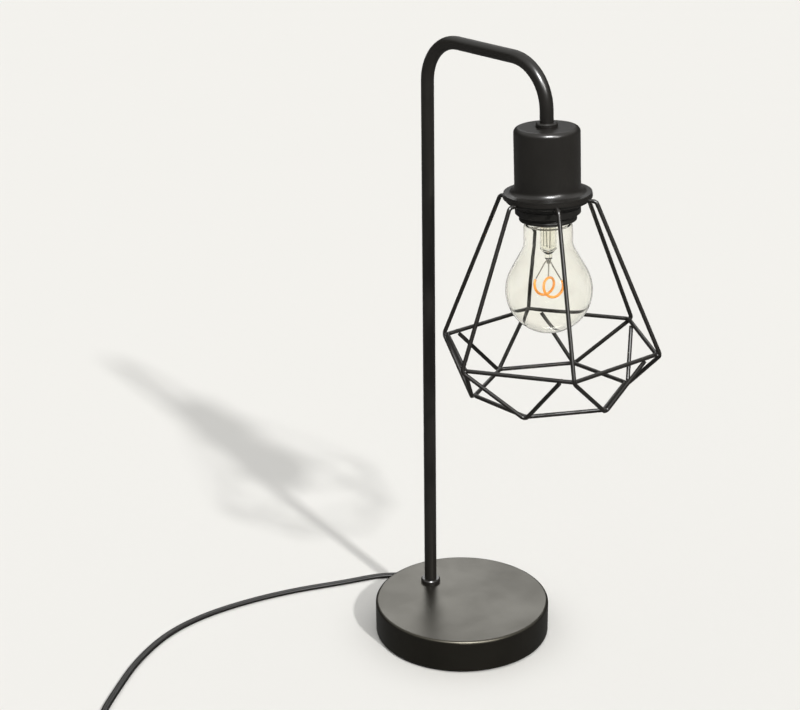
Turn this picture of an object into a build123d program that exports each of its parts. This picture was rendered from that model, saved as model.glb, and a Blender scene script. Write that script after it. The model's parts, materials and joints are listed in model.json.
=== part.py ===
from build123d import *
from math import cos, sin, tan, radians, pi, sqrt
import os

# A wire table lamp: a round weighted base, a bent tube stem, a cup with a screw
# lampholder, a six sided wire cage round a curled filament bulb, and a flat mains
# cord with its switch and plug. Millimetres, +Z up, +X from the stem to the head.
# The origin is the centre of the base's underside. Heights on the head are counted
# along its leaning axis from the top of the cup, so they are mostly below zero.

os.makedirs("parts", exist_ok=True)

# Base
base_radius = 67.0
base_height = 26.5
base_wall = 1.2
base_top_edge = 2.0
base_foot_edge = 1.5
base_lift = 0.8
lip_width = 1.0
pad_height = 1.5
plate_thickness = 0.8
weight_floor = 14.0
weight_edge = 1.5
slip = 0.2

# Stem, a bent tube whose arm is level
stem_x = -36.5
stem_radius = 4.7
stem_wall = 0.8
arm_height = 462.0
arm_reach = 119.0
bend_radius = 32.0
head_lean = 2.5
head_drop = 11.4

# Collars at both ends of the tube, with a threaded tail and its nut
collar_radius = 7.45
collar_height = 3.0
collar_edge = 0.8
base_spigot = 14.0
head_spigot = 7.5
spigot_slip = 0.05
tail_radius = 4.95
tail_hole_slip = 0.2
tail_past_nut = 1.0
wire_bore = 2.9
washer_thickness = 1.2
washer_radius = 10.0
lock_thickness = 1.0
lock_radius = 8.5
lock_teeth = 12
nut_flats = 14.0
nut_height = 4.0
pocket_radius = 13.0
clamp_thickness = 5.3

# Cup over the lampholder
cup_radius = 22.5
cup_wall = 1.0
cup_height = 46.2
cup_top_edge = 3.5
cup_flare = 4.5
cup_rim_radius = 30.0
cup_rim_thickness = 1.5
cup_rim_slope = 0.4

# Lampholder
dome_radius = 20.4
dome_wall = 2.0
dome_shoulder = 4.0
dome_joint = 28.0
nose_height = 2.0
nose_wall = 2.0
boss_radius = 8.5
boss_height = 8.0
boss_step = 3.0
skirt_radius = 19.75
skirt_wall = 1.7
skirt_end = 64.2
skirt_step = 60.8
skirt_groove = 0.6
skirt_edge = 0.8
skirt_lip = 2.6
core_floor_thickness = 6.0
core_rim = 4.0
core_wall = 3.15
core_slip = 0.15
screw_bore = 13.12
screw_wall = 0.5
screw_length = 24.0
screw_flange = 9.0
contact_radius = 3.5
contact_thickness = 1.0
contact_nose = 1.5
contact_gap = 0.3
neutral_place = 11.0
live_place = -4.5
live_rivet_place = -2.4
terminal_size = 6.5
terminal_height = 6.0
rivet_radius = 1.0
terminal_screw_radius = 1.6
terminal_head_radius = 2.6
terminal_head = 1.6
core_wire_radius = 1.1
core_wire_spread = 1.2
core_wire_straight = 2.5
core_wire_drop = 3.0
wire_depth = 1.2
flex_end_height = 16.0
fit_gap = 0.05

# Shade ring, which screws up the skirt and holds the cage's plate to the cup
ring_flange_radius = 28.4
ring_flange = 2.5
ring_radius = 22.4
ring_length = 11.0
ring_groove = 6.3
ring_groove_width = 0.5
ring_groove_depth = 0.4
ring_edge = 0.5
thread_slip = 0.06

# Cage, six bent wires under a ring plate with two six sided wire rings
plate_radius = 30.4
cage_plate_thickness = 2.0
plate_bore_slip = 0.4
wire_radius = 1.45
weld_sink = 0.2
cage_turn = -3.1
cage_sides = 6
spoke_start = 28.9
spoke_bend = 34.0
mid_height = -154.4
mid_radius = 76.1
low_height = -188.0
low_radius = 53.9
spoke_return = 8.5
spoke_stop = 2.9
spoke_bends = (3.0, 4.0, 3.0)
ring_bend = 4.0

# Bulb with its screw cap
globe_radius = 30.0
globe_centre = -114.6
shoulder_angle = 28.9
neck_radius = 16.8
neck_bend = 14.0
neck_top = -66.5
neck_edge = 3.0
glass_wall = 0.8
glass_top_wall = 1.5
cap_radius = 13.05
cap_root = 12.3
cap_wall = 0.5
cap_pitch = 3.63
cap_flank = 1.1
cap_crest = 0.7
cap_threads = 5
cap_skirt = 3.5
cap_lid = 0.6
cap_lid_hole = 3.0
insulator_radius = 10.0
insulator_edge = 1.0
insulator_height = 4.3
tip_radius = 4.6
tip_thickness = 1.4
glass_stem_radius = 5.7
glass_stem_wall = 1.0
glass_stem_top = -60.0
glass_stem_end = -85.0
pinch_radius = 2.6
pinch_top = -88.5
pinch_end = -92.0
driver_radius = 9.5
driver_height = 13.0
lead_radius = 0.45
lead_spread = 2.1
post_radius = 0.5
post_bend_height = -99.0
post_bend = 2.0
bead_height = -94.6
bead_radius = 1.5
filament_radius = 0.9
filament_loop = 6.4
filament_pitch = 10.0
filament_turns = 1.75
filament_middle = -112.5
filament_tilt = 4.0
filament_heading = -6.0

# Cord, a flat twin flex that lies on the surface the lamp stands on
flex_width = 5.2
flex_thickness = 3.2
floor_gap = 0.05
inner_flex_radius = 2.15
inner_flex_bend = 5.0
coil_centre = (83.0, -208.0)
coil_inner = 21.0
coil_pitch = 5.8
coil_layer = 3.65
coil_turns = 6.25
coil_start = 139.3
coil_steps = 4
coil_lead_run = 13.0

# Relief in the base wall
exit_angle = 161.0
exit_height = 7.6
relief_neck = 4.0
relief_flange = 5.0
relief_flange_thickness = 1.6
relief_tip_width = 6.8
relief_tip_thickness = 4.8
relief_corner = 2.3
relief_steps = 3

# Inline switch
switch_centre = (10.9, -229.6)
switch_heading = 47.9
switch_length = 62.0
switch_width = 26.0
switch_height = 14.0
switch_split = 7.2
switch_wall = 1.8
switch_corner = 8.0
switch_edge = 2.5
switch_foot = 0.8
switch_entry_height = 3.6
socket_depth = 7.0
cord_slip = 0.15
rocker_length = 19.6
rocker_width = 10.0
rocker_pivot = 10.0
rocker_end = 5.2
rocker_waist = 3.8
rocker_belly = 1.5
rocker_tilt = 9.0
rocker_slip = 0.4
rocker_pin_radius = 1.2
cheek_thickness = 3.0
cheek_length = 8.0
switch_screw_place = (17.0, 8.6)
switch_screw_radius = 1.5
switch_head_radius = 2.6
switch_head = 2.0
switch_boss_radius = 3.2
boss_screw_depth = 5.0
screw_end_gap = 0.5
strip_length = 15.0
strip_width = 4.0
strip_thickness = 0.8
strip_place = (10.5, 0.0)
strip_bump = 2.6

# Plug, the flat two pin kind
plug_width = 35.3
plug_flat = 26.1
plug_thickness = 13.7
plug_front = 18.0
plug_length = 34.0
plug_back_width = 13.0
plug_back_thickness = 9.0
plug_back_corner = 2.5
plug_relief_length = 22.0
plug_relief_step = 0.5
plug_ribs = 4
plug_rib_width = 1.6
plug_rib_depth = 0.7
pin_radius = 2.0
pin_length = 19.0
pin_root = 8.0
pin_spacing = 18.6
pin_tip = 1.0


def write(piece, name):
    """Label a finished piece and write its file."""
    piece.part.label = name
    export_step(piece.part, "parts/" + name + ".step")


def outline(points):
    """A filled outline through the points, which stays where the points are."""
    return Polygon(*points, align=None)


def corner(sketch, x, y):
    """The corner of a sketch that lies at x, y."""
    return sketch.vertices().sort_by_distance((x, y))[0]


def flat_side(direction):
    """The level direction square to a heading, which keeps a flat section lying flat."""
    return Vector(0, 0, 1).cross(direction).normalized()


def biarc(start, start_dir, end, end_dir):
    """The joint, and the direction there, of two arcs that join two points smoothly."""
    chord = end - start
    square = 2 * (1 - start_dir.dot(end_dir))
    linear = 2 * chord.dot(start_dir + end_dir)
    root = sqrt(linear * linear + 4 * square * chord.dot(chord))
    reach = 2 * chord.dot(chord) / (linear + root)
    joint = (start + end + (start_dir - end_dir) * reach) * 0.5
    joint_dir = (end - end_dir * reach - start - start_dir * reach).normalized()
    return joint, joint_dir


def smooth_arcs(place, first, last, steps):
    """Arcs through a curve's points at equal steps, two between each pair of points."""
    small = 1e-4
    marks = [first + (last - first) * i / steps for i in range(steps + 1)]
    spots = [place(mark) for mark in marks]
    ways = [(place(mark + small) - place(mark - small)).normalized() for mark in marks]
    for start, way, end, end_way in zip(spots, ways, spots[1:], ways[1:]):
        joint, joint_way = biarc(start, way, end, end_way)
        TangentArc(start, joint, tangent=way)
        TangentArc(joint, end, tangent=joint_way)


def bend_radii(points):
    """The largest radius that the two runs at each corner of a route leave room for."""
    radii = []
    for before, middle, after in zip(points, points[1:], points[2:]):
        run_in = Vector(*middle) - Vector(*before)
        run_out = Vector(*after) - Vector(*middle)
        turn = radians(run_in.get_angle(run_out))
        radii.append(0.45 * min(run_in.length, run_out.length) / tan(turn / 2))
    return radii


def report(name, piece, length, section):
    """Print how a cord piece's volume compares with its section times its length."""
    share = piece.part.volume / (section * length)
    print(name, "length", round(length, 1), "volume over section and length", round(share, 4))


# The base shell is pressed from sheet, with its foot rolled in under the plate
shell_inner = base_radius - base_wall
lip_radius = shell_inner - lip_width
shell_ceiling = base_height - base_wall
exit_dir = Vector(cos(radians(exit_angle)), sin(radians(exit_angle)), 0)
exit_centre = Vector(0, 0, exit_height)
exit_axis = Axis(exit_centre, exit_dir)

with BuildPart() as base_shell:
    with BuildSketch(Plane.XZ) as shell_section:
        outline([
            (0, base_height), (base_radius, base_height), (base_radius, base_lift),
            (lip_radius, base_lift), (lip_radius, pad_height), (shell_inner, pad_height),
            (shell_inner, shell_ceiling), (0, shell_ceiling),
        ])
        fillet(corner(shell_section, base_radius, base_height), base_top_edge)
        fillet(corner(shell_section, base_radius, base_lift), base_foot_edge)
        fillet(corner(shell_section, shell_inner, shell_ceiling), base_top_edge - base_wall)
    revolve(axis=Axis.Z)
    with BuildSketch(Plane.XY.offset(shell_ceiling)):
        with Locations((stem_x, 0)):
            Circle(tail_radius + tail_hole_slip)
    extrude(amount=base_wall, mode=Mode.SUBTRACT)
    with BuildSketch(Plane(exit_centre + exit_dir * lip_radius, z_dir=exit_dir)):
        Circle(relief_neck + fit_gap)
    extrude(amount=base_radius, mode=Mode.SUBTRACT)
write(base_shell, "base_shell")

# The weight hangs under the shell's top, with a pocket for the nut and the flex
pocket_roof = shell_ceiling - clamp_thickness
with BuildPart() as base_weight:
    with BuildSketch(Plane.XY.offset(weight_floor)):
        Circle(shell_inner - slip)
    extrude(amount=shell_ceiling - weight_floor)
    chamfer(base_weight.edges().group_by(Axis.Z)[-1], weight_edge)
    with BuildSketch(Plane.XY.offset(weight_floor)):
        with Locations((stem_x, 0)):
            Circle(pocket_radius)
    extrude(amount=pocket_roof - weight_floor, mode=Mode.SUBTRACT)
    with BuildSketch(Plane.XY.offset(pocket_roof)):
        with Locations((stem_x, 0)):
            Circle(tail_radius + tail_hole_slip)
    extrude(amount=clamp_thickness, mode=Mode.SUBTRACT)
write(base_weight, "base_weight")

with BuildPart() as bottom_plate:
    with BuildSketch(Plane.XY.offset(pad_height)):
        Circle(shell_inner - slip)
    extrude(amount=plate_thickness)
write(bottom_plate, "bottom_plate")

with BuildPart() as base_pad:
    with BuildSketch():
        Circle(lip_radius - slip)
    extrude(amount=pad_height)
write(base_pad, "base_pad")

# The relief grips the wall with a flange on each side, and its tail bends to the cord
relief_inside = sqrt(shell_inner ** 2 - relief_flange ** 2)
relief_back = relief_inside - relief_flange_thickness
relief_front = base_radius + relief_flange_thickness
relief_root = exit_centre + exit_dir * relief_front
relief_route = [
    (relief_root.X, relief_root.Y, relief_root.Z),
    (-70.5, 24.3, 7.6),
    (-77.3, 25.1, 5.7),
    (-83.6, 22.7, 4.0),
]
relief_plane = Plane(exit_centre, x_dir=exit_dir, z_dir=exit_dir.cross(Vector(0, 0, 1)))

with BuildLine() as relief_path:
    FilletPolyline(*relief_route, radius=bend_radii(relief_route))
relief_wire = Wire(relief_path.edges())

with BuildPart() as cord_relief:
    with BuildSketch(relief_plane):
        outline([
            (relief_back, 0), (relief_back, relief_flange), (relief_inside, relief_flange),
            (relief_inside, relief_neck), (base_radius, relief_neck),
            (base_radius, relief_flange), (relief_front, relief_flange), (relief_front, 0),
        ])
    revolve(axis=exit_axis)
    for step in range(relief_steps + 1):
        share = step / relief_steps
        heading = relief_wire % share
        width = 2 * relief_neck + (relief_tip_width - 2 * relief_neck) * share
        height = 2 * relief_neck + (relief_tip_thickness - 2 * relief_neck) * share
        with BuildSketch(Plane(relief_wire @ share, x_dir=flat_side(heading), z_dir=heading)):
            RectangleRounded(width, height, relief_corner)
    loft()
write(cord_relief, "cord_relief")

# The stem is one tube, bent twice
lean = radians(head_lean)
head_down = Vector(sin(lean), 0, -cos(lean))
head_up = head_down * -1
head_side = Vector(cos(lean), 0, sin(lean))
second_bend = Vector(stem_x + arm_reach - bend_radius, 0, arm_height - bend_radius)
head_origin = second_bend + head_side * bend_radius + head_down * head_drop
arm_corner_x = head_origin.X - (arm_height - head_origin.Z) * tan(lean)
stem_bottom = base_height + collar_height
stem_top = head_origin + head_up * collar_height
stem_bore = stem_radius - stem_wall

with BuildPart() as stem_tube:
    with BuildLine() as stem_path:
        FilletPolyline(
            (stem_x, 0, stem_bottom), (stem_x, 0, arm_height), (arm_corner_x, 0, arm_height),
            stem_top, radius=bend_radius,
        )
    with BuildSketch(Plane.XY.offset(stem_bottom)):
        with Locations((stem_x, 0)):
            Circle(stem_radius)
            Circle(stem_bore, mode=Mode.SUBTRACT)
    sweep(path=Wire(stem_path.edges()))
write(stem_tube, "stem_tube")

# The head's frame: sections are drawn with the radius across and the height up
head_section = Plane(head_origin, x_dir=head_side, z_dir=(0, -1, 0))
head_axis = Axis(head_origin, head_up)


def head_level(height):
    """The plane square to the head's axis at a height."""
    return Plane(head_origin + head_up * height, x_dir=head_side, z_dir=head_up)


def head_point(radius, angle, height):
    """A point beside the head's axis, from its radius, its angle in degrees and its height."""
    side = head_side * (radius * cos(radians(angle)))
    return head_origin + side + Vector(0, radius * sin(radians(angle)), 0) + head_up * height


def collar_outline(tail_length, spigot_length):
    """The section of a collar: tail below, flange at zero, and a spigot in the tube's bore."""
    spigot = stem_bore - spigot_slip
    return [
        (wire_bore, -tail_length), (tail_radius, -tail_length), (tail_radius, 0),
        (collar_radius, 0), (collar_radius, collar_height - collar_edge),
        (collar_radius - collar_edge, collar_height), (spigot, collar_height),
        (spigot, collar_height + spigot_length), (wire_bore, collar_height + spigot_length),
    ]


# The lower collar clamps the base to the tube
washer_top = pocket_roof
lock_top = washer_top - washer_thickness
nut_top = lock_top - lock_thickness
base_tail = base_height - nut_top + nut_height + tail_past_nut
stem_section = Plane((stem_x, 0, base_height), x_dir=(1, 0, 0), z_dir=(0, -1, 0))
stem_axis = Axis((stem_x, 0, 0), (0, 0, 1))

with BuildPart() as base_collar:
    with BuildSketch(stem_section):
        outline(collar_outline(base_tail, base_spigot))
    revolve(axis=stem_axis)
write(base_collar, "base_collar")

with BuildPart() as stem_washer:
    with BuildSketch(Plane.XY.offset(washer_top - washer_thickness)):
        with Locations((stem_x, 0)):
            Circle(washer_radius)
            Circle(tail_radius + fit_gap, mode=Mode.SUBTRACT)
    extrude(amount=washer_thickness)
write(stem_washer, "stem_washer")

with BuildPart() as stem_lock_washer:
    with BuildSketch(Plane.XY.offset(lock_top - lock_thickness)):
        with Locations((stem_x, 0)):
            Circle(lock_radius)
            Circle(tail_radius + fit_gap, mode=Mode.SUBTRACT)
            with PolarLocations(lock_radius, lock_teeth):
                RegularPolygon(lock_radius / lock_teeth, 3, mode=Mode.SUBTRACT)
    extrude(amount=lock_thickness)
write(stem_lock_washer, "stem_lock_washer")

with BuildPart() as stem_nut:
    with BuildSketch(Plane.XY.offset(nut_top - nut_height)):
        with Locations((stem_x, 0)):
            RegularPolygon(nut_flats / 2, 6, major_radius=False)
            Circle(tail_radius + fit_gap, mode=Mode.SUBTRACT)
    extrude(amount=nut_height)
write(stem_nut, "stem_nut")

# The upper collar holds the cup, and its tail screws into the lampholder's dome
dome_top = -cup_wall - nut_height
head_tail = boss_height - dome_top + tail_past_nut

with BuildPart() as head_collar:
    with BuildSketch(head_section):
        outline(collar_outline(head_tail, head_spigot))
    revolve(axis=head_axis)
write(head_collar, "head_collar")

with BuildPart() as head_nut:
    with BuildSketch(head_level(dome_top)):
        RegularPolygon(nut_flats / 2, 6, major_radius=False)
        Circle(tail_radius + fit_gap, mode=Mode.SUBTRACT)
    extrude(amount=nut_height)
write(head_nut, "head_nut")

# The cup is spun from sheet and flares to a rim
cup_bore = tail_radius + tail_hole_slip
cup_inner = cup_radius - cup_wall
rim_top = cup_rim_thickness - cup_height
flare_top = rim_top + cup_rim_slope

with BuildPart() as cup:
    with BuildSketch(head_section) as cup_section:
        outline([
            (cup_bore, 0), (cup_radius, 0), (cup_radius, flare_top), (cup_rim_radius, rim_top),
            (cup_rim_radius, -cup_height), (cup_inner, -cup_height), (cup_inner, -cup_wall),
            (cup_bore, -cup_wall),
        ])
        fillet(corner(cup_section, cup_radius, 0), cup_top_edge)
        fillet(corner(cup_section, cup_radius, flare_top), cup_flare)
        fillet(corner(cup_section, cup_inner, -cup_height), cup_flare + cup_wall)
        fillet(corner(cup_section, cup_inner, -cup_wall), cup_top_edge - cup_wall)
    revolve(axis=head_axis)
write(cup, "cup")

# The lampholder: a dome above, a threaded skirt below and an insulating core inside
dome_shelf = dome_top - boss_step
dome_bore = tail_radius + fit_gap
skirt_bore = skirt_radius - skirt_wall
core_outer = skirt_bore - core_slip
core_floor = dome_joint + nose_height

with BuildPart() as holder_dome:
    with BuildSketch(head_section) as dome_section:
        outline([
            (dome_bore, dome_top), (boss_radius, dome_top), (boss_radius, dome_shelf),
            (dome_radius, dome_shelf), (dome_radius, -dome_joint), (core_outer, -dome_joint),
            (core_outer, -core_floor), (core_outer - nose_wall, -core_floor),
            (core_outer - nose_wall, nose_height - dome_joint),
            (dome_radius - dome_wall, nose_height - dome_joint),
            (dome_radius - dome_wall, dome_shelf - dome_wall),
            (boss_radius, dome_shelf - dome_wall), (boss_radius, dome_top - boss_height),
            (dome_bore, dome_top - boss_height),
        ])
        fillet(corner(dome_section, dome_radius, dome_shelf), dome_shoulder)
        fillet(
            corner(dome_section, dome_radius - dome_wall, dome_shelf - dome_wall),
            dome_shoulder - dome_wall,
        )
    revolve(axis=head_axis)
write(holder_dome, "holder_dome")

lip_bore = skirt_bore - skirt_lip
lip_top = skirt_lip - skirt_end

with BuildPart() as holder_skirt:
    with BuildSketch(head_section) as skirt_section:
        outline([
            (skirt_bore, -dome_joint), (skirt_radius, -dome_joint), (skirt_radius, -skirt_step),
            (skirt_radius - skirt_groove / 2, -skirt_step),
            (skirt_radius - skirt_groove / 2, -skirt_step - skirt_groove),
            (skirt_radius, -skirt_step - skirt_groove), (skirt_radius, -skirt_end),
            (lip_bore, -skirt_end), (lip_bore, lip_top), (skirt_bore, lip_top),
        ])
        fillet(corner(skirt_section, skirt_radius, -skirt_end), skirt_edge)
    revolve(axis=head_axis)
write(holder_skirt, "holder_skirt")

core_bottom = -core_floor - core_floor_thickness
screw_outer = screw_bore + screw_wall
core_bore = screw_outer + fit_gap
rivet_hole = rivet_radius + fit_gap

with BuildPart() as holder_core:
    with BuildSketch(head_section):
        outline([
            (0, -core_floor), (core_outer, -core_floor), (core_outer, -core_floor - core_rim),
            (core_bore + core_wall, -core_floor - core_rim), (core_bore + core_wall, lip_top),
            (core_bore, lip_top), (core_bore, core_bottom), (0, core_bottom),
        ])
    revolve(axis=head_axis)
    with BuildSketch(head_level(core_bottom)):
        with Locations((neutral_place, 0), (live_rivet_place, 0)):
            Circle(rivet_hole)
    extrude(amount=core_floor_thickness, mode=Mode.SUBTRACT)
write(holder_core, "holder_core")

with BuildPart() as screw_shell:
    with BuildSketch(head_section):
        outline([
            (screw_flange, core_bottom), (screw_outer, core_bottom),
            (screw_outer, core_bottom - screw_length), (screw_bore, core_bottom - screw_length),
            (screw_bore, core_bottom - screw_wall), (screw_flange, core_bottom - screw_wall),
        ])
    revolve(axis=head_axis)
write(screw_shell, "screw_shell")

cap_top = neck_top + cap_skirt + cap_threads * cap_pitch + cap_lid
tip_top = cap_top + insulator_height + tip_thickness

with BuildPart() as centre_contact:
    with BuildSketch(head_section):
        outline([
            (0, core_bottom), (contact_radius, core_bottom),
            (contact_radius, core_bottom - contact_thickness),
            (contact_nose, core_bottom - contact_thickness),
            (contact_nose, tip_top + contact_gap), (0, tip_top + contact_gap),
        ])
    revolve(axis=head_axis)
write(centre_contact, "centre_contact")

with BuildPart() as contact_rivets:
    with BuildSketch(head_level(core_bottom)):
        with Locations((neutral_place, 0), (live_rivet_place, 0)):
            Circle(rivet_radius)
    extrude(amount=core_floor_thickness)
write(contact_rivets, "contact_rivets")

terminal_places = [(neutral_place, 0), (live_place, 0)]
terminal_screw_height = terminal_height / 2 - core_floor
terminal_front = Plane(
    head_origin + head_up * terminal_screw_height, x_dir=head_side, z_dir=(0, 1, 0)
)

with BuildPart() as terminal_blocks:
    with BuildSketch(head_level(-core_floor)):
        with Locations(*terminal_places):
            Rectangle(terminal_size, terminal_size)
    extrude(amount=terminal_height)
    with BuildSketch(head_level(terminal_height - core_floor)):
        with Locations(*terminal_places):
            Circle(core_wire_radius + fit_gap)
    extrude(amount=-wire_depth, mode=Mode.SUBTRACT)
    with BuildSketch(terminal_front):
        with Locations(*terminal_places):
            Circle(terminal_screw_radius + fit_gap)
    extrude(amount=terminal_size, mode=Mode.SUBTRACT)
write(terminal_blocks, "terminal_blocks")

with BuildPart() as terminal_screws:
    with BuildSketch(terminal_front):
        with Locations(*terminal_places):
            Circle(terminal_screw_radius)
    extrude(amount=terminal_size / 2)
    with BuildSketch(terminal_front.offset(terminal_size / 2)):
        with Locations(*terminal_places):
            Circle(terminal_head_radius)
    extrude(amount=terminal_head)
write(terminal_screws, "terminal_screws")

# The flex inside the lamp: through the base, up the tube, round its bends to the head
flex_start = exit_centre + exit_dir * relief_back
base_route = [
    (flex_start.X, flex_start.Y, flex_start.Z),
    (-51.1, 17.6, 7.6),
    (-42.0, 9.5, 6.2),
    (stem_x, 0, 5.2),
]
base_bends = bend_radii(base_route)
head_route_end = head_origin + head_down * flex_end_height

with BuildPart() as inner_flex:
    with BuildLine() as inner_path:
        FilletPolyline(
            *base_route, (stem_x, 0, arm_height), (arm_corner_x, 0, arm_height), head_route_end,
            radius=[*base_bends, inner_flex_bend, bend_radius, bend_radius],
        )
    with BuildSketch(Plane(flex_start, z_dir=exit_dir * -1)):
        Circle(inner_flex_radius)
    sweep(path=Wire(inner_path.edges()))
write(inner_flex, "inner_flex")


def core_wire_route(side, place):
    """The route of one core from the end of the flex down into its terminal."""
    start = side * core_wire_spread
    top = terminal_height - core_floor
    return [
        head_point(start, 0, -flex_end_height),
        head_point(start, 0, -flex_end_height - core_wire_straight),
        head_point(place, 0, top + core_wire_drop),
        head_point(place, 0, top - wire_depth),
    ]


for wire_name, side, place in (("neutral_wire", 1, neutral_place), ("live_wire", -1, live_place)):
    wire_route = core_wire_route(side, place)
    with BuildPart() as core_wire:
        with BuildLine() as core_wire_path:
            FilletPolyline(*wire_route, radius=core_wire_radius)
        with BuildSketch(Plane(wire_route[0], x_dir=head_side, z_dir=head_down)):
            Circle(core_wire_radius)
        sweep(path=Wire(core_wire_path.edges()))
    write(core_wire, wire_name)

# The shade ring runs on the skirt
plate_top = -cup_height
ring_top = plate_top - cage_plate_thickness
ring_bore = skirt_radius + thread_slip
groove_top = ring_top - ring_groove + ring_groove_width / 2

with BuildPart() as shade_ring:
    with BuildSketch(head_section) as ring_section:
        outline([
            (ring_bore, ring_top), (ring_flange_radius, ring_top),
            (ring_flange_radius, ring_top - ring_flange), (ring_radius, ring_top - ring_flange),
            (ring_radius, groove_top), (ring_radius - ring_groove_depth, groove_top),
            (ring_radius - ring_groove_depth, groove_top - ring_groove_width),
            (ring_radius, groove_top - ring_groove_width), (ring_radius, ring_top - ring_length),
            (ring_bore, ring_top - ring_length),
        ])
        fillet(corner(ring_section, ring_flange_radius, ring_top - ring_flange), ring_edge)
        fillet(corner(ring_section, ring_radius, ring_top - ring_length), ring_edge)
    revolve(axis=head_axis)
write(shade_ring, "shade_ring")

# The cage
with BuildPart() as cage_plate:
    with BuildSketch(head_level(ring_top)):
        Circle(plate_radius)
        Circle(skirt_radius + plate_bore_slip, mode=Mode.SUBTRACT)
    extrude(amount=cage_plate_thickness)
write(cage_plate, "cage_plate")

side_turn = 360 / cage_sides
first_corner = side_turn / 2 + cage_turn
low_first = first_corner + side_turn / 2
stub_height = ring_top - wire_radius + weld_sink
ring_cut = ring_bend * (1 / cos(radians(side_turn) / 2) - 1)
weld_reach = 2 * wire_radius - weld_sink - ring_cut


def bend_corner(before, peak, after, bend):
    """The corner whose rounded bend passes through a point between two others."""
    way_in = (peak - before).normalized()
    way_out = (after - peak).normalized()
    half_turn = radians(way_in.get_angle(way_out)) / 2
    return peak + (way_in - way_out).normalized() * (bend * (1 / cos(half_turn) - 1))


for number in range(cage_sides):
    angle = first_corner + number * side_turn
    low_angle = angle + side_turn / 2
    this_corner = head_point(mid_radius, angle, mid_height)
    next_corner = head_point(mid_radius, angle + side_turn, mid_height)
    landing = next_corner + (this_corner - next_corner).normalized() * spoke_return
    stub_start = head_point(spoke_start, angle, stub_height)
    stub_end = head_point(spoke_bend, angle, stub_height)
    mid_weld = head_point(mid_radius + weld_reach, angle, mid_height)
    low_weld = head_point(low_radius + weld_reach, low_angle, low_height)
    mid_corner = bend_corner(stub_end, mid_weld, low_weld, spoke_bends[1])
    low_corner = bend_corner(mid_corner, low_weld, landing, spoke_bends[2])
    spoke_end = landing + (low_corner - landing).normalized() * spoke_stop
    spoke_route = [stub_start, stub_end, mid_corner, low_corner, spoke_end]
    with BuildPart() as spoke:
        with BuildLine() as spoke_path:
            FilletPolyline(*spoke_route, radius=list(spoke_bends))
        with BuildSketch(Plane(stub_start, z_dir=stub_end - stub_start)):
            Circle(wire_radius)
        sweep(path=Wire(spoke_path.edges()))
    write(spoke, "cage_spoke_" + str(number + 1))


def ring_corners(radius, angle, height):
    """The corners of a six sided ring, led by the middle of its last side."""
    corners = [head_point(radius, angle + i * side_turn, height) for i in range(cage_sides)]
    return [(corners[0] + corners[-1]) * 0.5] + corners


for ring_name, radius, angle, height in (
    ("cage_mid_ring", mid_radius, first_corner, mid_height),
    ("cage_low_ring", low_radius, low_first, low_height),
):
    corners = ring_corners(radius, angle, height)
    with BuildPart() as wire_ring:
        with BuildLine() as ring_path:
            FilletPolyline(*corners, close=True, radius=[0] + [ring_bend] * cage_sides)
        with BuildSketch(Plane(corners[0], z_dir=corners[1] - corners[0])):
            Circle(wire_radius)
        sweep(path=Wire(ring_path.edges()))
    write(wire_ring, ring_name)

# The bulb's glass: a ball, a straight shoulder and a neck, thin walled
shoulder = radians(shoulder_angle)


def glass_profile(inset, top):
    """Half the outline of the glass, set in by a distance, from the axis up to the neck."""
    ball = globe_radius - inset
    neck = neck_radius - inset
    bottom = (0, globe_centre - ball)
    side = (ball * cos(shoulder), globe_centre + ball * sin(shoulder))
    belly = (ball * cos(shoulder - pi / 3), globe_centre + ball * sin(shoulder - pi / 3))
    meet = (neck, side[1] + (side[0] - neck) / tan(shoulder))
    ThreePointArc(bottom, belly, side)
    FilletPolyline(side, meet, (neck, top), radius=neck_bend + inset)
    return bottom


with BuildPart() as bulb_glass:
    with BuildSketch(head_section) as glass_section:
        with BuildLine():
            outer_bottom = glass_profile(0, neck_top)
            inner_bottom = glass_profile(glass_wall, neck_top - glass_top_wall)
            Line(outer_bottom, inner_bottom)
            Polyline(
                (neck_radius, neck_top), (glass_stem_radius + fit_gap, neck_top),
                (glass_stem_radius + fit_gap, neck_top - glass_top_wall),
                (neck_radius - glass_wall, neck_top - glass_top_wall),
            )
        make_face()
        fillet(corner(glass_section, neck_radius, neck_top), neck_edge)
    revolve(axis=head_axis)
write(bulb_glass, "bulb_glass")

stem_inner = glass_stem_radius - glass_stem_wall
with BuildPart() as bulb_stem:
    with BuildSketch(head_section):
        outline([
            (0, glass_stem_end - glass_stem_wall), (stem_inner, glass_stem_end + glass_stem_wall),
            (stem_inner, glass_stem_top), (glass_stem_radius, glass_stem_top),
            (glass_stem_radius, glass_stem_end), (pinch_radius, pinch_top),
            (pinch_radius, pinch_end), (0, pinch_end),
        ])
    revolve(axis=head_axis)
write(bulb_stem, "bulb_stem")

# The screw cap has a ring for each turn of its thread
cap_inner = cap_root - cap_wall
cap_outline = [(cap_inner, neck_top), (cap_radius, neck_top), (cap_radius, neck_top + cap_skirt / 2)]
for turn in range(cap_threads):
    foot = neck_top + cap_skirt + turn * cap_pitch
    cap_outline += [
        (cap_root, foot), (cap_radius, foot + cap_flank),
        (cap_radius, foot + cap_flank + cap_crest), (cap_root, foot + 2 * cap_flank + cap_crest),
    ]
cap_outline += [
    (cap_root, cap_top - cap_lid), (cap_root - cap_lid, cap_top), (cap_lid_hole, cap_top),
    (cap_lid_hole, cap_top - cap_lid), (cap_inner, cap_top - cap_lid),
]

with BuildPart() as bulb_cap:
    with BuildSketch(head_section):
        outline(cap_outline)
    revolve(axis=head_axis)
write(bulb_cap, "bulb_cap")

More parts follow.
